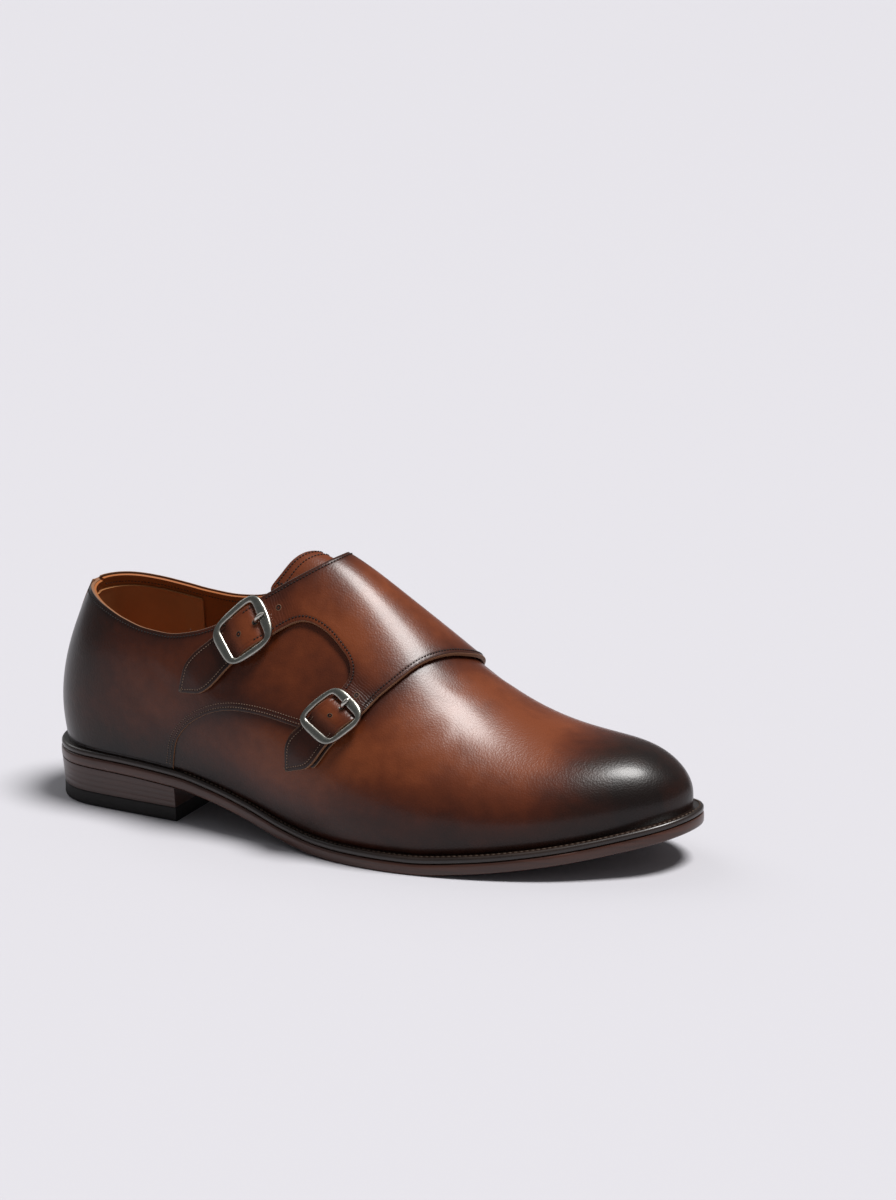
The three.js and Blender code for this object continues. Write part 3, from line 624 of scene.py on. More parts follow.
def piece(name, points, faces, material, slot, merge=1e-6, closed=True, **attributes):
    """A smooth mesh of the shoe, in metres, with values at its points."""
    mesh = bpy.data.meshes.new(name)
    mesh.from_pydata((np.asarray(points) * MM).tolist(), [], faces)
    for key, values in attributes.items():
        layer = mesh.attributes.new(key, "FLOAT", "POINT")
        layer.data.foreach_set("value", np.asarray(values, np.float32))
    bm = bmesh.new()
    bm.from_mesh(mesh)
    bmesh.ops.remove_doubles(bm, verts=bm.verts, dist=merge)
    bmesh.ops.dissolve_degenerate(bm, edges=bm.edges, dist=1e-6)
    if closed:
        bmesh.ops.recalc_face_normals(bm, faces=bm.faces)
    bm.to_mesh(mesh)
    bm.free()
    mesh.materials.append(material)
    mesh.shade_smooth()
    mesh.set_sharp_from_angle(angle=SHARP)
    return on_shoe(name, mesh, slot)


def wall(rings, around, start=0, closed=False):
    """Quads over rings of `around` points, one after the other, the last to the first if closed."""
    faces = []
    for i in range(rings if closed else rings - 1):
        for j in range(around):
            a, b = i * around + j, i * around + (j + 1) % around
            c, d = (b + around) % (rings * around), (a + around) % (rings * around)
            faces.append((start + a, start + b, start + c, start + d))
    return faces


def inside(outline, points):
    """Which points lie in a closed outline."""
    x, y = points[:, 0], points[:, 1]
    found = np.zeros(len(points), bool)
    for (x0, y0), (x1, y1) in zip(outline, np.roll(outline, -1, axis=0)):
        if y0 != y1:
            found ^= ((y0 > y) != (y1 > y)) & (x < x0 + (y - y0) * (x1 - x0) / (y1 - y0))
    return found


def distance_to(line, points):
    """Each point's distance to a polyline."""
    best = np.full(len(points), 1e9)
    for a, b in zip(line[:-1], line[1:]):
        along = b - a
        share = np.clip((points - a) @ along / (along @ along + 1e-12), 0, 1)
        gap = points - a - share[:, None] * along
        best = np.minimum(best, gap[:, 0] ** 2 + gap[:, 1] ** 2)
    return np.sqrt(best)


def panel(
    name, outline, top, under, material, slot,
    spacing=1.3, place=on_leather, rim=0.35, tones=even_tone(0.5), fold=None,
):
    """A cut piece of leather over its flat outline, from lift top down to under.

    Its upper edge is rounded over `rim`. `tones` gives its tone, and `fold` its values of fold."""
    outline = soften(outline)
    following = np.roll(outline, -1, axis=0)
    if (outline[:, 0] * following[:, 1] - following[:, 0] * outline[:, 1]).sum() < 0:
        outline = outline[::-1]
    ring = outline + leftward(outline, closed=True) * rim
    low, high = outline.min(0), outline.max(0)
    columns, rows = (np.arange(low[k] + spacing / 2, high[k], spacing) for k in (0, 1))
    grid = np.stack(np.meshgrid(columns, rows), -1).reshape(-1, 2)
    grid = grid[inside(outline, grid)]
    loop = np.concatenate([outline, outline[:1]])
    grid = grid[distance_to(loop, grid) > rim + 0.55 * spacing]
    count = len(ring)
    edges = [(i, (i + 1) % count) for i in range(count)]
    given = [Vector(c) for c in np.concatenate([ring, grid])]
    flat, _, faces, sources, _, _ = delaunay_2d_cdt(given, edges, [], 1, 1e-5)
    flat = np.array([tuple(c) for c in flat])
    home = {source: i for i, found in enumerate(sources) for source in found}
    eased = outline + (ring - outline) * 0.3
    layers = [
        (flat, top(flat)),
        (eased, top(eased) - 0.3 * rim),
        (outline, top(outline) - rim),
        (outline, under(outline) + 0.15),
        (flat, under(flat)),
    ]
    points = np.concatenate([place(line, lift)[0] for line, lift in layers])
    starts = np.cumsum([0] + [len(line) for line, _ in layers]).tolist()
    below = starts[4]
    solid = [tuple(f) for f in faces] + [tuple(below + i for i in reversed(f)) for f in faces]
    rim_places = [home[k] for k in range(count)]
    stack = [rim_places, *(range(n, n + count) for n in starts[1:4])]
    stack.append([below + i for i in rim_places])
    for a, b in zip(stack[:-1], stack[1:]):
        solid += [(a[k], b[k], b[n], a[n]) for k, n in edges]
    depth = distance_to(loop, flat)
    edge = np.concatenate([depth, np.full(count, 0.1), np.zeros(2 * count + len(flat))])
    every = np.concatenate([line for line, _ in layers])
    values = {"edge": edge, "tone": tones(every, points, edge)}
    if fold:
        values["fold"] = fold(every)
    return piece(name, points, solid, material, slot, **values)


def skin(name, high, low, below_rim, columns, rows, material, slot, tones=None, sink=None):
    """The upper's whole surface up to its rims, as one shell from lift high down to low."""
    p = np.linspace(0, 1, columns)
    at = at_of(p * LENGTH)
    first, last = UNDER_FLAP["at"][[0, -1]]
    points, flats, faces = [], [], []
    for side, sign in SIDES:
        girths = np.interp(p, P, GIRTHS[:, int(sign > 0)])
        rim = np.interp(p * LENGTH, COLLAR[side][:, 0], np.abs(COLLAR[side][:, 1])) + below_rim
        hidden = Steady(UNDER_FLAP["at"], UNDER_FLAP[side])(np.clip(at, first, last))
        edge = rim + (hidden - rim) * fade((at - first + 6) / 6)
        share = np.linspace(0, 1, rows)[None, :]
        girth = sign * (girths[:, None] + (edge - girths)[:, None] * share)
        s = np.repeat(p[:, None] * LENGTH, rows, 1)
        flat = np.stack([s, girth], -1).reshape(-1, 2)
        lift = np.full(len(flat), float(high))
        if sink:
            lift -= sink(at_of(flat[:, 0]), flat[:, 1])
        start = len(flats) * len(flat)
        points.append(on_leather(flat, lift)[0])
        flats.append(flat)
        for i in range(columns - 1):
            for j in range(rows - 1):
                a = start + i * rows + j
                quad = (a, a + rows, a + rows + 1, a + 1)
                faces.append(quad if sign < 0 else quad[::-1])
    points, flats = np.concatenate(points), np.concatenate(flats)
    values = {"edge": np.full(len(flats), 20.0), "tone": tones(flats, points)} if tones else {}
    made = piece(name, points, faces, material, slot, merge=2e-5, closed=False, **values)
    shell = made.modifiers.new("wall", "SOLIDIFY")
    shell.thickness = (high - low) * MM
    shell.offset = -1
    solid = evaluated(made)
    made.modifiers.clear()
    made.data = solid
    solid.set_sharp_from_angle(angle=SHARP)
    return made


def tube(points, radii, sides=12):
    """A closed round bar along points, as points and faces."""
    points = np.asarray(points, float)
    ahead = unit(np.gradient(points, axis=0))
    across = unit(np.cross(ahead, (0, 0, 1.0)))
    up = np.cross(across, ahead)
    turn = np.arange(sides)[None, :, None] * 2 * math.pi / sides
    ring = np.cos(turn) * across[:, None] + np.sin(turn) * up[:, None]
    body = (points[:, None] + ring * np.asarray(radii)[:, None, None]).reshape(-1, 3)
    last = (len(points) - 1) * sides
    caps = [tuple(range(sides))[::-1], tuple(range(last, last + sides))]
    return body, wall(len(points), sides) + caps


# ---------- materials
def add_node(tree, kind, settings, inputs):
    """Adds a node with these settings and its sockets' values or links."""
    made = tree.nodes.new(kind)
    for key, value in settings.items():
        setattr(made, key, value)
    known = {s.identifier: s for s in made.inputs}
    for key, value in inputs.items():
        socket = known.get(key) or made.inputs[key]
        if isinstance(value, bpy.types.NodeSocket):
            tree.links.new(value, socket)
        else:
            socket.default_value = value
    return made


class Socket:
    """A node's output that can be used in Python expressions."""

    def __init__(self, finish, output):
        self.finish, self.output = finish, output

    def math(self, operation, *values):
        settings = {"operation": operation}
        return self.finish.node("ShaderNodeMath", settings, dict(enumerate(values)))

    def __add__(self, other):
        return self.math("ADD", self, other)

    def __sub__(self, other):
        return self.math("SUBTRACT", self, other)

    def __rsub__(self, other):
        return self.math("SUBTRACT", other, self)

    def __mul__(self, other):
        return self.math("MULTIPLY", self, other)

    def __truediv__(self, other):
        return self.math("DIVIDE", self, other)

    __radd__, __rmul__ = __add__, __mul__

    def clamp(self):
        return self.finish.node("ShaderNodeClamp", {}, {"Value": self})

    def smooth(self, low, high):
        """0 below low, 1 above high, with a smooth change between."""
        settings = {"interpolation_type": "SMOOTHSTEP"}
        inputs = {"Value": self, "From Min": low, "From Max": high}
        return self.finish.node("ShaderNodeMapRange", settings, inputs)

    def bell(self, centre, width):
        gap = (self - centre) / width
        return self.math("EXPONENT", gap * gap * -1)


class Finish:
    """A material made of one Principled shader and the nodes that feed it."""

    def __init__(self, name, **shader):
        self.material = bpy.data.materials.new(name)
        self.material.use_nodes = True
        self.tree = self.material.node_tree
        self.tree.nodes.clear()
        self.shader = self.tree.nodes.new("ShaderNodeBsdfPrincipled")
        surface = {"Surface": self.shader.outputs[0]}
        add_node(self.tree, "ShaderNodeOutputMaterial", {}, surface)
        self.feed(**shader)

    def node(self, kind, settings, inputs, out=0):
        """Adds a node and gives its output. A ramp's stops come among its settings."""
        stops = settings.pop("ramp", ())
        inputs = {key: getattr(value, "output", value) for key, value in inputs.items()}
        made = add_node(self.tree, kind, settings, inputs)
        for k, (position, colour) in enumerate(stops):
            elements = made.color_ramp.elements
            stop = elements[k] if k < len(elements) else elements.new(1)
            stop.position, stop.color = position, (*colour, 1)
        known = {s.identifier: s for s in made.outputs}
        return Socket(self, known.get(out) or made.outputs[out])

    def feed(self, **sockets):
        """Sets the shader's own sockets, named with _ for a space."""
        for key, value in sockets.items():
            socket = self.shader.inputs[key.replace("_", " ")]
            if isinstance(value, Socket):
                self.tree.links.new(value.output, socket)
            else:
                socket.default_value = (*value, 1) if isinstance(value, tuple) else value

    def where(self):
        return self.node("ShaderNodeTexCoord", {}, {}, "Object")

    def attribute(self, name):
        return self.node("ShaderNodeAttribute", {"attribute_name": name}, {}, "Fac")

    def noise(self, scale, detail=3.0, roughness=0.55, stretch=(1, 1, 1)):
        vector = self.node("ShaderNodeMapping", {}, {"Vector": self.where(), "Scale": stretch})
        sockets = {"Vector": vector, "Scale": scale, "Detail": detail, "Roughness": roughness}
        return self.node("ShaderNodeTexNoise", {}, sockets)

    def cells(self, scale):
        inputs = {"Vector": self.where(), "Scale": scale, "Smoothness": 0.3}
        return self.node("ShaderNodeTexVoronoi", {"feature": "SMOOTH_F1"}, inputs)

    def colours(self, value, *stops):
        return self.node("ShaderNodeValToRGB", {"ramp": stops}, {"Fac": value})

    def mix(self, share, a, b):
        def rgba(c):
            return (*c, 1) if isinstance(c, tuple) else c

        settings = {"data_type": "RGBA"}
        inputs = {"Factor_Float": share, "A_Color": rgba(a), "B_Color": rgba(b)}
        return self.node("ShaderNodeMix", settings, inputs, "Result_Color")

    def relief(self, height, depth, strength=1.0):
        """A bump of this depth in millimetres for a height from 0 to 1."""
        inputs = {"Height": height, "Distance": depth * MM, "Strength": strength}
        self.feed(Normal=self.node("ShaderNodeBump", {}, inputs))


CUT_EDGE = (0.26, 0.125, 0.065)
STITCH_INSET = 1.6


def calf_finish():
    """Hand-burnished calf: cognac where it is open, near black where the polish is thick and where
    shade is painted into its tone.
    """
    calf = Finish("burnished_calf", Specular_IOR_Level=0.23, Coat_Roughness=0.2)
    edge, tone, fold = (calf.attribute(name) for name in ("edge", "tone", "fold"))
    cloud, speck = calf.noise(26, 4), calf.noise(210, 3)
    rim = edge.math("EXPONENT", edge / -2.2) * 0.22
    # The tone carries both the pieces' polish and their painted shade.
    rub_and_shade = tone + (cloud - 0.5) * 0.8 + (speck - 0.5) * 0.2 + rim
    patina_and_shade = calf.colours(
        rub_and_shade.clamp(),
        (0.0, (0.150, 0.036, 0.011)),
        (0.22, (0.094, 0.0202, 0.006)),
        (0.5, (0.046, 0.0096, 0.0035)),
        (0.75, (0.020, 0.0056, 0.0028)),
        (1.0, (0.006, 0.0028, 0.0022)),
    )
    cut = 1 - edge.smooth(0.05, 0.2)
    calf.feed(Base_Color=calf.mix(cut * 0.8, patina_and_shade, CUT_EDGE))
    # Unpolished, where the strap dives under the buckle's frame.
    sunk = fold.smooth(-11, -8) * (1 - fold.smooth(-4, -1.5))
    calf.feed(Roughness=0.34 + 0.12 * (cloud - 0.5) + 0.25 * cut + 0.32 * sunk)
    calf.feed(Coat_Weight=0.17 * (1 - cut) * (1 - sunk))
    pebble, grain = calf.cells(1150), calf.noise(1900, 2)
    wrinkle = calf.noise(330, 3, 0.6, (1, 0.45, 0.45))
    groove = edge.bell(STITCH_INSET, 0.4)
    worn = fold.smooth(7.5, 11) * (1 - fold.smooth(17, 27))  # bent here each time it is fastened
    ripple = fold * 5.2 + calf.noise(170, 2) * 16
    lines = ripple.math("SINE", ripple)
    height = pebble * 0.5 + grain * 0.25 + wrinkle * 0.8 - groove * 1.3 + worn * lines * 0.36
    calf.relief(height, 0.11, 0.8)
    return calf.material


def lining_finish(name, colour, roughness):
    lining = Finish(name, Specular_IOR_Level=0.3)
    cloud, fibre = lining.noise(45, 4), lining.noise(1500, 3)
    pale = tuple(min(1.0, c * 1.45) for c in colour)
    lining.feed(Base_Color=lining.mix((0.2 + 1.1 * (cloud - 0.3)).clamp(), colour, pale))
    lining.feed(Roughness=roughness + 0.12 * (fibre - 0.5))
    lining.relief(fibre * 0.6 + lining.cells(900) * 0.4, 0.07, 0.5)
    return lining.material


def thread_finish(name, colour):
    thread = Finish(name, Roughness=0.62, Specular_IOR_Level=0.35)
    fibre = thread.noise(1200, 2)
    thread.feed(Base_Color=thread.mix(fibre, tuple(c * 0.7 for c in colour), colour))
    thread.relief(fibre, 0.05, 0.5)
    return thread.material


def sole_finish(name, light, dark, layers):
    """Waxed leather seen on its edge, with fine lines along it."""
    sole = Finish(name, Specular_IOR_Level=0.45, Coat_Roughness=0.25, Coat_Weight=0.25)
    streak = sole.noise(90, 4, 0.6, (0.35, 0.35, layers))
    cloud = sole.noise(40, 3)
    share = (streak * 1.5 - 0.35 + (cloud - 0.5) * 0.6).clamp()
    sole.feed(Base_Color=sole.mix(share, dark, light))
    sole.feed(Roughness=0.36 + 0.25 * (streak - 0.5))
    sole.relief(streak + sole.noise(800, 2) * 0.3, 0.09, 0.6)
    return sole.material


def rubber_finish():
    rubber = Finish("heel_rubber", Specular_IOR_Level=0.35)
    grit = rubber.noise(900, 3)
    rubber.feed(Base_Color=rubber.mix(grit, (0.004, 0.0035, 0.0035), (0.012, 0.010, 0.009)))
    rubber.feed(Roughness=0.55 + 0.2 * grit)
    rubber.relief(grit, 0.06, 0.6)
    return rubber.material


def pewter_finish():
    """Antique pewter: bright where it is rubbed and where highlights are painted on, dark in its
    hollows.
    """
    pewter = Finish("antique_pewter", Metallic=1.0)
    # worn holds rubbed brightness together with painted highlights along the frame's inner and
    # outer sides.
    worn = pewter.attribute("worn")
    cloud, pit = pewter.noise(420, 4), pewter.noise(1700, 3)
    rubbed_and_highlight = (worn * 0.85 + (cloud - 0.45) * 0.35).clamp()
    pewter.feed(Base_Color=pewter.mix(rubbed_and_highlight, (0.19, 0.195, 0.175), (0.66, 0.63, 0.57)))
    pewter.feed(Roughness=0.36 - 0.18 * rubbed_and_highlight + 0.08 * (pit - 0.5))
    pewter.relief(cloud * 0.6 + pit * 0.4, 0.07, 0.5)
    return pewter.material


CALF = calf_finish()
LINING = lining_finish("tan_lining", (0.24, 0.075, 0.018), 0.6)
GRIP = lining_finish("suede_heel_grip", (0.40, 0.175, 0.065), 0.9)
DARK_THREAD = thread_finish("dark_thread", (0.010, 0.005, 0.004))
PALE_THREAD = thread_finish("grey_thread", (0.21, 0.135, 0.095))
WELT_THREAD = thread_finish("welt_thread", (0.062, 0.038, 0.024))
SOLE_EDGE = sole_finish("waxed_sole_edge", (0.085, 0.026, 0.014), (0.026, 0.009, 0.005), 9)
WELT_LEATHER = sole_finish("dark_welt", (0.024, 0.013, 0.009), (0.009, 0.005, 0.004), 3)
HEEL_LIFTS = sole_finish("stacked_heel", (0.056, 0.018, 0.011), (0.030, 0.011, 0.007), 4)
RUBBER = rubber_finish()
PEWTER = pewter_finish()


# ---------- sole, welt and heel
def side_line(rows, side, sign, p):
    """Places (at, across) at shares p of an outline's side, and the unit steps inward there."""
    knots = side_lengths(rows)
    knots /= knots[-1]
    at, across = Spline(knots, rows["at"], True, True), Spline(knots, rows[side])

    def point(share):
        share = np.clip(share, 0, 1)
        return np.stack([at(share), across(share)], -1)

    nudge = 1e-4
    ahead = unit(point(p + nudge) - point(p - nudge))
    return point(p), np.stack([ahead[:, 1], -ahead[:, 0]], -1) * sign


def over(base, *rows):
    """A profile of rows (inset, rise) over a base height."""
    return [(inset, lambda at, rise=rise: base(at) + rise) for inset, rise in rows]


def band(rows, profile, columns, until=1.0):
    """A solid over an outline, up to a share of its length, as points and faces.

    The profile has rows (inset, height as a function of at), from its foot to its top."""
    p = np.linspace(0, until, columns)
    edges = {}
    for side, sign in SIDES:
        line, inward = side_line(rows, side, sign, p)
        for k, (inset, height) in enumerate(profile):
            at, y = (line + inward * inset).T
            edges[side, k] = np.stack([at - HEEL_CENTRE, y, height(at)], -1)

    def across(k, a, b):
        """Lines between the two sides, at the profile's foot or its top."""
        lines = [edges[a, k] * (1 - t) + edges[b, k] * t for t in np.linspace(0, 1, 10)[1:-1]]
        for line in lines:
            line[:, 2] = profile[k][1](line[:, 0] + HEEL_CENTRE)
        return lines

    last = len(profile) - 1
    loop = [edges["lateral", k] for k in range(last + 1)] + across(last, "lateral", "medial")
    loop += [edges["medial", k] for k in range(last, -1, -1)] + across(0, "medial", "lateral")
    count = len(loop)
    faces = wall(columns, count)
    if until < 1:
        faces.append(tuple(range((columns - 1) * count, columns * count)))
    return np.stack(loop, 1).reshape(-1, 3), faces


def floor_level(at):
    return 0 * at


def heel_share(share):
    """A height in the heel stack, from its top lift to the sole."""
    foot = TOP_LIFT_THICK + 0.15
    return lambda at: foot + (underside(at) - 0.1 - foot) * share


def heel_profile(lifts=4):
    """The heel's lifts, each with a fine groove above and below it."""
    rows = []
    for n in range(lifts):
        foot, head = (0.3 + 0.9 * (1 - k / lifts) for k in (n, n + 1))
        steps = ((foot + 0.03, 0), (foot, 0.03), (head, 0.97), (head + 0.03, 0.998))
        rows += [(inset, heel_share((n + share) / lifts)) for inset, share in steps]
    return rows


def bottom_pieces():
    p = np.linspace(0, 1, 4000)
    front = float(np.interp(HEEL_BREAST, side_line(SOLE, *SIDES[0], p)[0][:, 0], p))
    sole = over(
        underside, (0.9, 0), (0.35, 0.25), (0.08, 0.8), (0, 2.4), (0.05, 3.9), (0.3, 4.7), (0.9, 5)
    )
    welt = over(
        underside, (0.9, 5.15), (0.35, 5.5), (0.2, 6.2), (0.25, 7.1), (0.7, 7.8), (1.4, 8)
    )
    rubber = over(floor_level, (2, 0), (1.4, 0.3), (1.2, 1), (1.2, 5.8), (1.3, 6.3), (1.6, 6.5))
    sock = over(underside, (2.2, 8.05), (1.7, 8.5), (2.2, 8.9))
    stack = heel_profile()
    for name, node, shape, finish, slot in (
        ("sole", "outsole", (SOLE, sole, 220), SOLE_EDGE, "sole_leather"),
        ("welt_strip", "welt", (SOLE, welt, 220), WELT_LEATHER, "sole_leather"),
        ("heel_lifts", "heel_stack", (SOLE, stack, 130, front), HEEL_LIFTS, "heel_leather"),
        ("heel_top_lift", "top_lift", (SOLE, rubber, 130, front), RUBBER, "heel_rubber"),
        ("sock_lining", "insole", (LAST, sock, 160), LINING, "lining_leather"),
    ):
        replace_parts(piece(name, *band(*shape), finish, slot), node)


# ---------- upper
def near(line, flat, width):
    """1 beside a line, fading to 0 over this width."""
    return np.exp(-distance_to(line, flat) / width)


def vamp_tones(flat, point):
    # Darker beside the quarters' seams and the flap's front edge: partly burnish along the seams,
    # partly painted shade below the edges that lie over the vamp.
    seams = near(QUARTER_SEAM["lateral"], flat, 5) + near(QUARTER_SEAM["medial"], flat, 5)
    # Darker on the lateral side behind the straps: painted shade on the lower lateral side.
    wing = fade((150 - at_of(flat[:, 0])) / 60) * (flat[:, 1] < 0)
    tone = polish_and_shade(flat, point)
    tone = tone + 0.25 * wing * (1 - tone)
    return tone + 0.5 * np.minimum(1, seams + near(FLAP_FRONT, flat, 5)) * (1 - tone)


def quarter_tones(flat, point, edge):
    # The base tone of 0.34 is painted shade: the whole lateral quarter darkened as the side away
    # from the overhead light.
    tone = 0.34 + 0.66 * polish_and_shade(flat, point)
    return tone + 0.3 * (1 - tone) * np.exp(-edge / 7)


def flap_tones(flat, point, edge):
    at, girth = at_of(flat[:, 0]), flat[:, 1]
    t, on_strap = strap_t(at, girth), (girth < STRAP_SIDE) & (flap_share(at, girth) > 0.5)
    # Darker towards the strap's tip: the tip's own polish, and painted shade inside the buckle
    # where the strap dips under the frame.
    tip = 0.62 * fade((-1 - t) / 10) * on_strap
    tone = 1 - (1 - polish_and_shade(flat, point)) * (1 - tip)
    shoulder = 0.3 * fade((t - 9) / 6) * fade((30 - t) / 12) * on_strap
    tone = tone + shoulder * (1 - tone)
    ends = near(FLAP_FRONT, flat, 9) + near(FLAP_TOP, flat, 9)
    return tone + 0.45 * (1 - tone) * np.minimum(1, ends) * fade((t + 6) / 4)


def upper_pieces():
    vamp = skin(
        "vamp", VAMP_TOP, VAMP_UNDER, 2.5, 290, 84, CALF, "calf", tones=vamp_tones, sink=creases
    )
    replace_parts(vamp, "upper")
    skin("lining", LINING_TOP, 0.1, 0.2, 200, 50, LINING, "lining_leather")
    rim, down = rim_until("lateral"), feather(-1, HEEL_BACK, SEAM_FOOT)
    back = np.array([(0.0, rim[0, 1]), (0.0, down[0, 1])])
    hidden = curve((178, -8), (150, -22), (132, -30), (122, -35), (112, -38))
    outline = even(join(back, down, QUARTER_SEAM["lateral"], hidden, rim[::-1]))
    panel(
        "lateral_quarter", outline, quarter_top, level(LINING_TOP), CALF, "calf",
        tones=quarter_tones,
    )
    flap = panel(
        "medial_quarter", even(flap_outline()), flap_top, flap_under, CALF, "calf", spacing=1.1,
        tones=flap_tones, fold=lambda flat: strap_t(at_of(flat[:, 0]), flat[:, 1]),
    )
    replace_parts(flap, "strap_flap")
    hidden = [straight((164, 26), (172, 0)), straight((172, 0), (160, -26))]
    tongue = panel(
        "tongue_leather", even(join(TONGUE_EDGE, *hidden)), level(TONGUE_TOP), level(TONGUE_UNDER),
        CALF, "calf", tones=even_tone(0.08),
    )
    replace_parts(tongue, "tongue")


def buckle_tabs():
    for name, (start, end, half) in TABS.items():
        v, t = np.linspace(-half, half, 12), np.linspace(start, end, 24)
        sides = ((end, v), (t[::-1], half), (start, v[::-1]), (t, -half))
        outline = even(join(*(strap_place(name, *side) for side in sides)))
        tab = panel(
            f"tab_{name}", outline, level(TAB_TOP), level(TAB_UNDER), CALF, "dark_calf",
            rim=0.25, tones=even_tone(DARK),
        )
        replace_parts(tab, f"buckle_tab_{name}")


def heel_strip():
    """The strip that covers the seam up the heel's back."""
    collar = -np.interp(0, *COLLAR["lateral"].T)
    half = np.array([(7, 0.2), (7, 22), (5.5, 34), (3, 44)])
    strip = np.concatenate([half * (-1, 1), [(0, 48)], half[::-1], [(-7, 0.2)]]) + (0, collar)
    panel(
        "heel_strip", even(strip), level(HEEL_STRIP_TOP), level(HEEL_STRIP_UNDER), CALF,
        "dark_calf", spacing=1.0, place=on_heel_back, tones=even_tone(DARK),
    )


def heel_grip():
    """The suede lining round the heel, inside the collar."""
    reach, gap = 60, 4.5
    sides = []
    for side, sign in SIDES:
        rim = COLLAR[side][COLLAR[side][:, 0] < reach]
        sides.append(np.stack([sign * rim[:, 0], np.abs(rim[:, 1]) + gap], -1))
    left, right, back = sides[0][-1], sides[1][-1], sides[0][0, 1]
    middle = [(40, back + 50), (0, back + 62), (-40, back + 50)]
    lower = np.array([right + (2, 20), *middle, left + (-2, 20)])
    d = length_along(lower)
    lower = Spline(d, lower)(np.linspace(0, d[-1], 120))
    outline = even(join(sides[0][::-1], sides[1], lower, sides[0][-1:]))[:-1]
    panel(
        "heel_grip", outline, level(GRIP_TOP), level(GRIP_UNDER), GRIP, "lining_leather",
        spacing=2.2, place=on_heel_back, rim=0.12,
    )


# ---------- buckles
def squared(c, power):
    """A sine or cosine bent towards a square corner by a power below 1."""
    return np.sign(c) * np.abs(c) ** power


def buckle_frame(name, turns=128, ring=16):
    """A rounded bar round the frame, and for each point how bright it is painted: rubbed, and with
    painted highlights along the bar's inner and outer sides.
    """
    turn, around = (np.arange(n)[:, None] * 2 * math.pi / n for n in (turns, ring))
    around = around.T
    outward = 0.5 + 0.5 * squared(np.cos(around), 0.8)
    upward = squared(np.sin(around), 0.8)
    corner = 2 / (INNER_CORNER + (OUTER_CORNER - INNER_CORNER) * outward)
    t, v = (
        (BUCKLE["open"] + (BUCKLE[size] - BUCKLE["open"]) * outward) / 2 * squared(c, corner)
        for size, c in (("long", np.cos(turn)), ("wide", np.sin(turn)))
    )
    lift = BUCKLE["lift"] + BUCKLE["thick"] / 2 * (1 + upward) + 0 * t
    lift -= NOTCH["depth"] * bell(v, NOTCH["width"]) * (t > 0) * np.maximum(0, upward)
    points = on_leather(strap_place(name, t.ravel(), v.ravel()), lift.ravel())[0]
    # Brightest on the bar's inner and outer sides: painted highlights there as well as rubbing.
    return points, wall(turns, ring, closed=True), np.tile(np.abs(np.cos(around[0])) ** 3, turns)


def buckle_pieces():
    side = (BUCKLE["wide"] + BUCKLE["open"]) / 4
    v = np.linspace(-side, side, 21)
    bar_lift = np.where(np.abs(v) > side - 0.5, BUCKLE["lift"] + 1, MIDDLE_BAR["lift"])
    t = np.linspace(PRONG["t"][0], PRONG["t"][-1], 30)
    pin_lift = Spline(PRONG["t"], PRONG["lift"])(t)
    pin_radius = np.interp(t, PRONG_RADIUS["t"], PRONG_RADIUS["radius"])
    for name in STRAPS:
        # worn carries the frame's rubbed brightness and its painted highlights.
        points, faces, worn = buckle_frame(name)
        bar = on_leather(strap_place(name, 0, v), bar_lift)[0]
        body, bar_faces = tube(bar, np.full(len(v), MIDDLE_BAR["radius"]))
        faces += [tuple(len(points) + i for i in f) for f in bar_faces]
        points, worn = np.concatenate([points, body]), np.append(worn, np.full(len(body), 0.4))
        made = piece(f"frame_{name}", points, faces, PEWTER, "pewter", worn=worn)
        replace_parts(made, f"buckle_{name}")
        body, faces = tube(on_leather(strap_place(name, t, 0), pin_lift)[0], pin_radius)
        worn = np.full(len(body), 0.8)
        made = piece(f"tongue_pin_{name}", body, faces, PEWTER, "pewter", worn=worn)
        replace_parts(made, f"prong_{name}")


# ---------- stitches and holes
def stitch_tree():
    """Lays one rounded stitch on each point, along its `along` and standing up its `up`."""
    tree = bpy.data.node_groups.new("stitches", "GeometryNodeTree")
    kinds = {"Geometry": "Geometry", "Length": "Float", "Width": "Float", "Height": "Float"}
    for label, kind in {**kinds, "Thread": "Material"}.items():
        tree.interface.new_socket(label, in_out="INPUT", socket_type=f"NodeSocket{kind}")
    tree.interface.new_socket("Geometry", in_out="OUTPUT", socket_type="NodeSocketGeometry")

    def node(kind, settings=None, **inputs):
        return add_node(tree, kind, settings or {}, inputs)

    given = node("NodeGroupInput").outputs
    bead = node("GeometryNodeMeshUVSphere", Segments=6, Rings=4, Radius=0.5).outputs["Mesh"]
    size = {"X": given["Length"], "Y": given["Width"], "Z": given["Height"]}
    size = node("ShaderNodeCombineXYZ", **size).outputs[0]
    bead = node("GeometryNodeTransform", Geometry=bead, Scale=size).outputs[0]
    vector = {"data_type": "FLOAT_VECTOR"}
    along, up = (
        node("GeometryNodeInputNamedAttribute", vector, Name=name).outputs["Attribute"]
        for name in ("along", "up")
    )
    turn = node("FunctionNodeAlignRotationToVector", {"axis": "X"}, Vector=along).outputs[0]
    upright = {"axis": "Z", "pivot_axis": "X"}
    turn = node("FunctionNodeAlignRotationToVector", upright, Rotation=turn, Vector=up).outputs[0]
    places = {"Points": given["Geometry"], "Instance": bead, "Rotation": turn}
    laid = node("GeometryNodeInstanceOnPoints", **places)
    real = node("GeometryNodeRealizeInstances", Geometry=laid.outputs[0]).outputs[0]
    smooth = node("GeometryNodeSetShadeSmooth", Geometry=real).outputs[0]
    sewn = node("GeometryNodeSetMaterial", Geometry=smooth, Material=given["Thread"]).outputs[0]
    node("NodeGroupOutput", Geometry=sewn)
    return tree


STITCHES = stitch_tree()


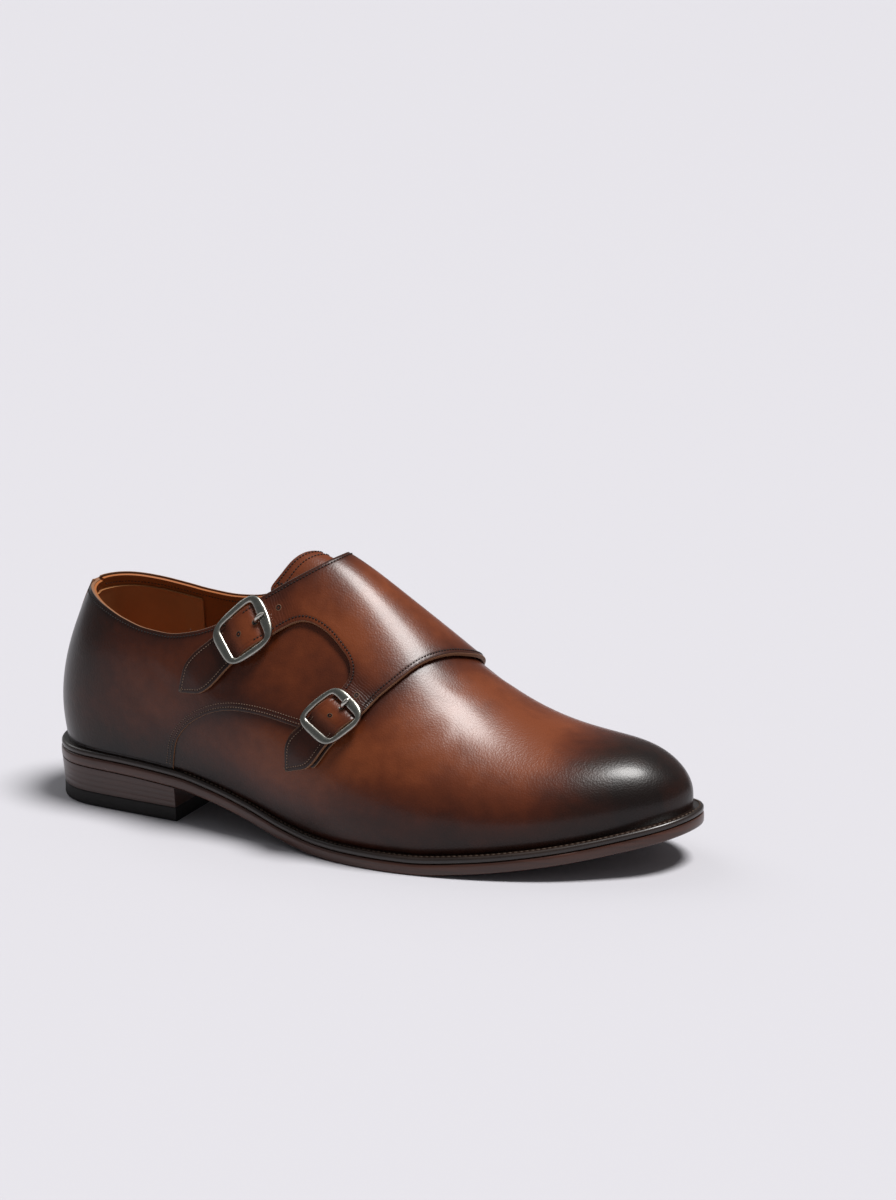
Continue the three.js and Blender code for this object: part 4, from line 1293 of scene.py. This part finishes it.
def row_of_stitches(point, normal, pitch):
    """Middles, directions and normals of stitches along points."""
    d = length_along(point)
    where = np.arange(pitch / 2, d[-1], pitch)
    return [spread(where, d, values) for values in (point, np.gradient(point, axis=0), normal)]


def sewn_row(line, lift, pitch, start=0, end=0):
    """Stitches over a line on the flat leather, without this much at its start and end."""
    d = length_along(line)
    line = line[(d >= start) & (d <= d[-1] - end)]
    return row_of_stitches(*on_leather(line, lift(line)), pitch)


def sew(name, rows, length, width, height, thread, slot):
    middles, along, up = (np.concatenate(c) for c in zip(*rows))
    mesh = bpy.data.meshes.new(name)
    mesh.from_pydata((middles * MM).tolist(), [], [])
    for key, values in (("along", along), ("up", up)):
        layer = mesh.attributes.new(key, "FLOAT_VECTOR", "POINT")
        layer.data.foreach_set("vector", values.astype(np.float32).ravel())
    points = placed(name, mesh)
    modifier = points.modifiers.new("stitches", "NODES")
    modifier.node_group = STITCHES
    items = STITCHES.interface.items_tree
    ids = {item.name: item.identifier for item in items if item.in_out == "INPUT"}
    sizes = {"Length": length * MM, "Width": width * MM, "Height": height * MM}
    for key, value in {**sizes, "Thread": thread}.items():
        modifier[ids[key]] = value
    sewn = evaluated(points)
    bpy.data.objects.remove(points)
    on_shoe(name, sewn, slot)


def above(lift, rise=0.14):
    """The lift of stitches half sunk in leather of this lift."""
    return lambda flat: lift(flat) + rise


def leather_stitches():
    inset, pitch, quarter, flap = STITCH_INSET, DARK_PITCH, above(quarter_top), above(flap_top)
    top = join(beside(rim_until("medial"), inset), beside(FLAP_TOP, inset))
    dark = [
        sewn_row(beside(rim_until("lateral", 112), -inset), quarter, pitch, 7),
        sewn_row(top, flap, pitch, 7),
        sewn_row(beside(CUT_OUT, inset), flap, pitch),
        sewn_row(beside(FLAP_FRONT, inset), flap, pitch, 1, 1),
    ]
    for gap in (inset, inset + 3):
        line = beside(TONGUE_EDGE, -gap)
        dark.append(sewn_row(line[at_of(line[:, 0]) < 140], above(level(TONGUE_TOP)), pitch))
    for name in STRAPS:
        for sign in (-1, 1):
            line = beside(strap_side(name, sign * STRAP_HALF), sign * inset)
            dark.append(sewn_row(line, flap, pitch, TIP_ROW))
    sew("dark_stitches", dark, 1.25, 0.62, 0.62, DARK_THREAD, "dark_calf")
    pale, pitch = [], PALE_PITCH
    for name in STRAPS:
        tip = beside(strap_end(name), inset)
        d = length_along(tip)
        pale.append(sewn_row(tip[np.abs(d - d[-1] / 2) < TIP_ROW], flap, pitch))
    for gap in SEAM_GAPS:
        pale.append(sewn_row(beside(QUARTER_SEAM["lateral"], gap), quarter, pitch, 3, 52))
        pale.append(sewn_row(beside(QUARTER_SEAM["medial"], gap), flap, pitch, 1, 4))
    for at in (168.5, 165.5):  # the cross stitches at the flap's lowest corner
        pale.append(sewn_row(straight((at, 49), (at + 1.6, 59)), flap, pitch))
    sew("pale_stitches", pale, 0.85, 0.4, 0.4, PALE_THREAD, "lining_leather")


def lining_stitches():
    """The row that holds the lining below the collar, and its seam on either side."""
    rows = []
    for side, sign in SIDES:
        rim = beside(rim_until(side, 110), sign * LINING_GAP)
        seam = straight((80, sign * 46), (77, sign * 92))
        rows.append(sewn_row(rim, level(-0.02), DARK_PITCH, 3))
        rows.append(sewn_row(seam, level(-0.02), DARK_PITCH))
    sew("lining_stitches", rows, 1.1, 0.45, 0.4, WELT_THREAD, "lining_leather")


def welt_stitches():
    rows = []
    for side, sign in SIDES:
        line, inward = side_line(SOLE, side, sign, np.linspace(0, 1, 900))
        at, y = (line + inward * WELT_GAP).T
        point = np.stack([at - HEEL_CENTRE, y, seat_height(at) + 0.05], -1)
        point = point[line[:, 0] > HEEL_BREAST + 4]
        rows.append(row_of_stitches(point, np.tile((0, 0, 1.0), (len(point), 1)), WELT_PITCH))
    sew("welt_stitches", rows, 2.0, 0.75, 0.6, WELT_THREAD, "sole_leather")


def strap_holes():
    """Punched holes as shallow dents painted near black, painted shade for their depth, with a pale
    rim, either side of the pin and under it.
    """
    points, faces, edge = [], [], []
    count = 24
    turn = np.arange(count) * 2 * math.pi / count
    rings = ((1.25, 0.02, 0.12), (1.0, 0.10, 0.12), (0.85, 0.06, 9.0), (0.3, -0.02, 9.0))
    for name, t in ((name, t) for name, places in HOLES.items() for t in places):
        start = len(points)
        for radius, rise, mark in rings:
            flat = strap_place(name, t + radius * np.cos(turn), radius * np.sin(turn))
            points.extend(on_leather(flat, flap_top(flat) + rise)[0])
            edge.extend([mark] * count)
        faces += [*wall(len(rings), count, start), tuple(range(len(points) - count, len(points)))]
    # Near black all over: painted shade where the hole's depth would be.
    tone = np.ones(len(points))
    piece("strap_holes", points, faces, CALF, "dark_calf", edge=edge, tone=tone)


# ---------- studio
FLOOR = 400.0  # metres from the middle of the floor to its sides
LIGHTS = (  # name, direction towards it, strength, spread in degrees, colour
    ("key", (0.34, 0.04, 0.94), 4.57, 20, (1.0, 0.985, 0.97)),
    ("left", (-0.9, 0.35, 0.9), 0.6, 40, (1.0, 0.99, 0.98)),
)
AZIMUTH, ELEVATION = 24.51, 14.62  # the way the camera looks from
CAMERA_AT = (0.664, -1.115, 0.427)
LENS = 88.13


def studio():
    floor_mesh = bpy.data.meshes.new("floor")
    corners = [(-FLOOR, -FLOOR, 0), (FLOOR, -FLOOR, 0), (FLOOR, FLOOR, 0), (-FLOOR, FLOOR, 0)]
    floor_mesh.from_pydata(corners, [], [(0, 1, 2, 3)])
    paper = Finish("pale_paper", Roughness=0.9, Specular_IOR_Level=0.1)
    paper.feed(Base_Color=(0.48, 0.476, 0.508))
    floor_mesh.materials.append(paper.material)
    floor = placed("floor", floor_mesh)
    world = bpy.data.worlds.new("studio")
    world.use_nodes = True
    background = world.node_tree.nodes["Background"]
    background.inputs["Color"].default_value = (0.96, 0.97, 1.0, 1)
    background.inputs["Strength"].default_value = 0.2
    bpy.context.scene.world = world
    for name, toward, energy, spread, colour in LIGHTS:
        lamp = bpy.data.lights.new(name, "SUN")
        lamp.energy, lamp.angle, lamp.color = energy, math.radians(spread), colour
        light = placed(name, lamp)
        light.rotation_euler = Vector(toward).to_track_quat("Z", "Y").to_euler()
    bpy.context.scene.view_settings.view_transform = "Standard"


def camera():
    lens = bpy.data.cameras.new("camera")
    lens.lens, lens.sensor_width = LENS, 36
    lens.clip_end = 1000
    view = placed("camera", lens)
    view.location = CAMERA_AT
    a, e = math.radians(AZIMUTH), math.radians(ELEVATION)
    back = Vector((math.sin(a) * math.cos(e), -math.cos(a) * math.cos(e), math.sin(e)))
    view.rotation_euler = back.to_track_quat("Z", "Y").to_euler()
    bpy.context.scene.camera = view


bottom_pieces()
upper_pieces()
buckle_tabs()
heel_strip()
heel_grip()
buckle_pieces()
leather_stitches()
lining_stitches()
welt_stitches()
strap_holes()
studio()
camera()
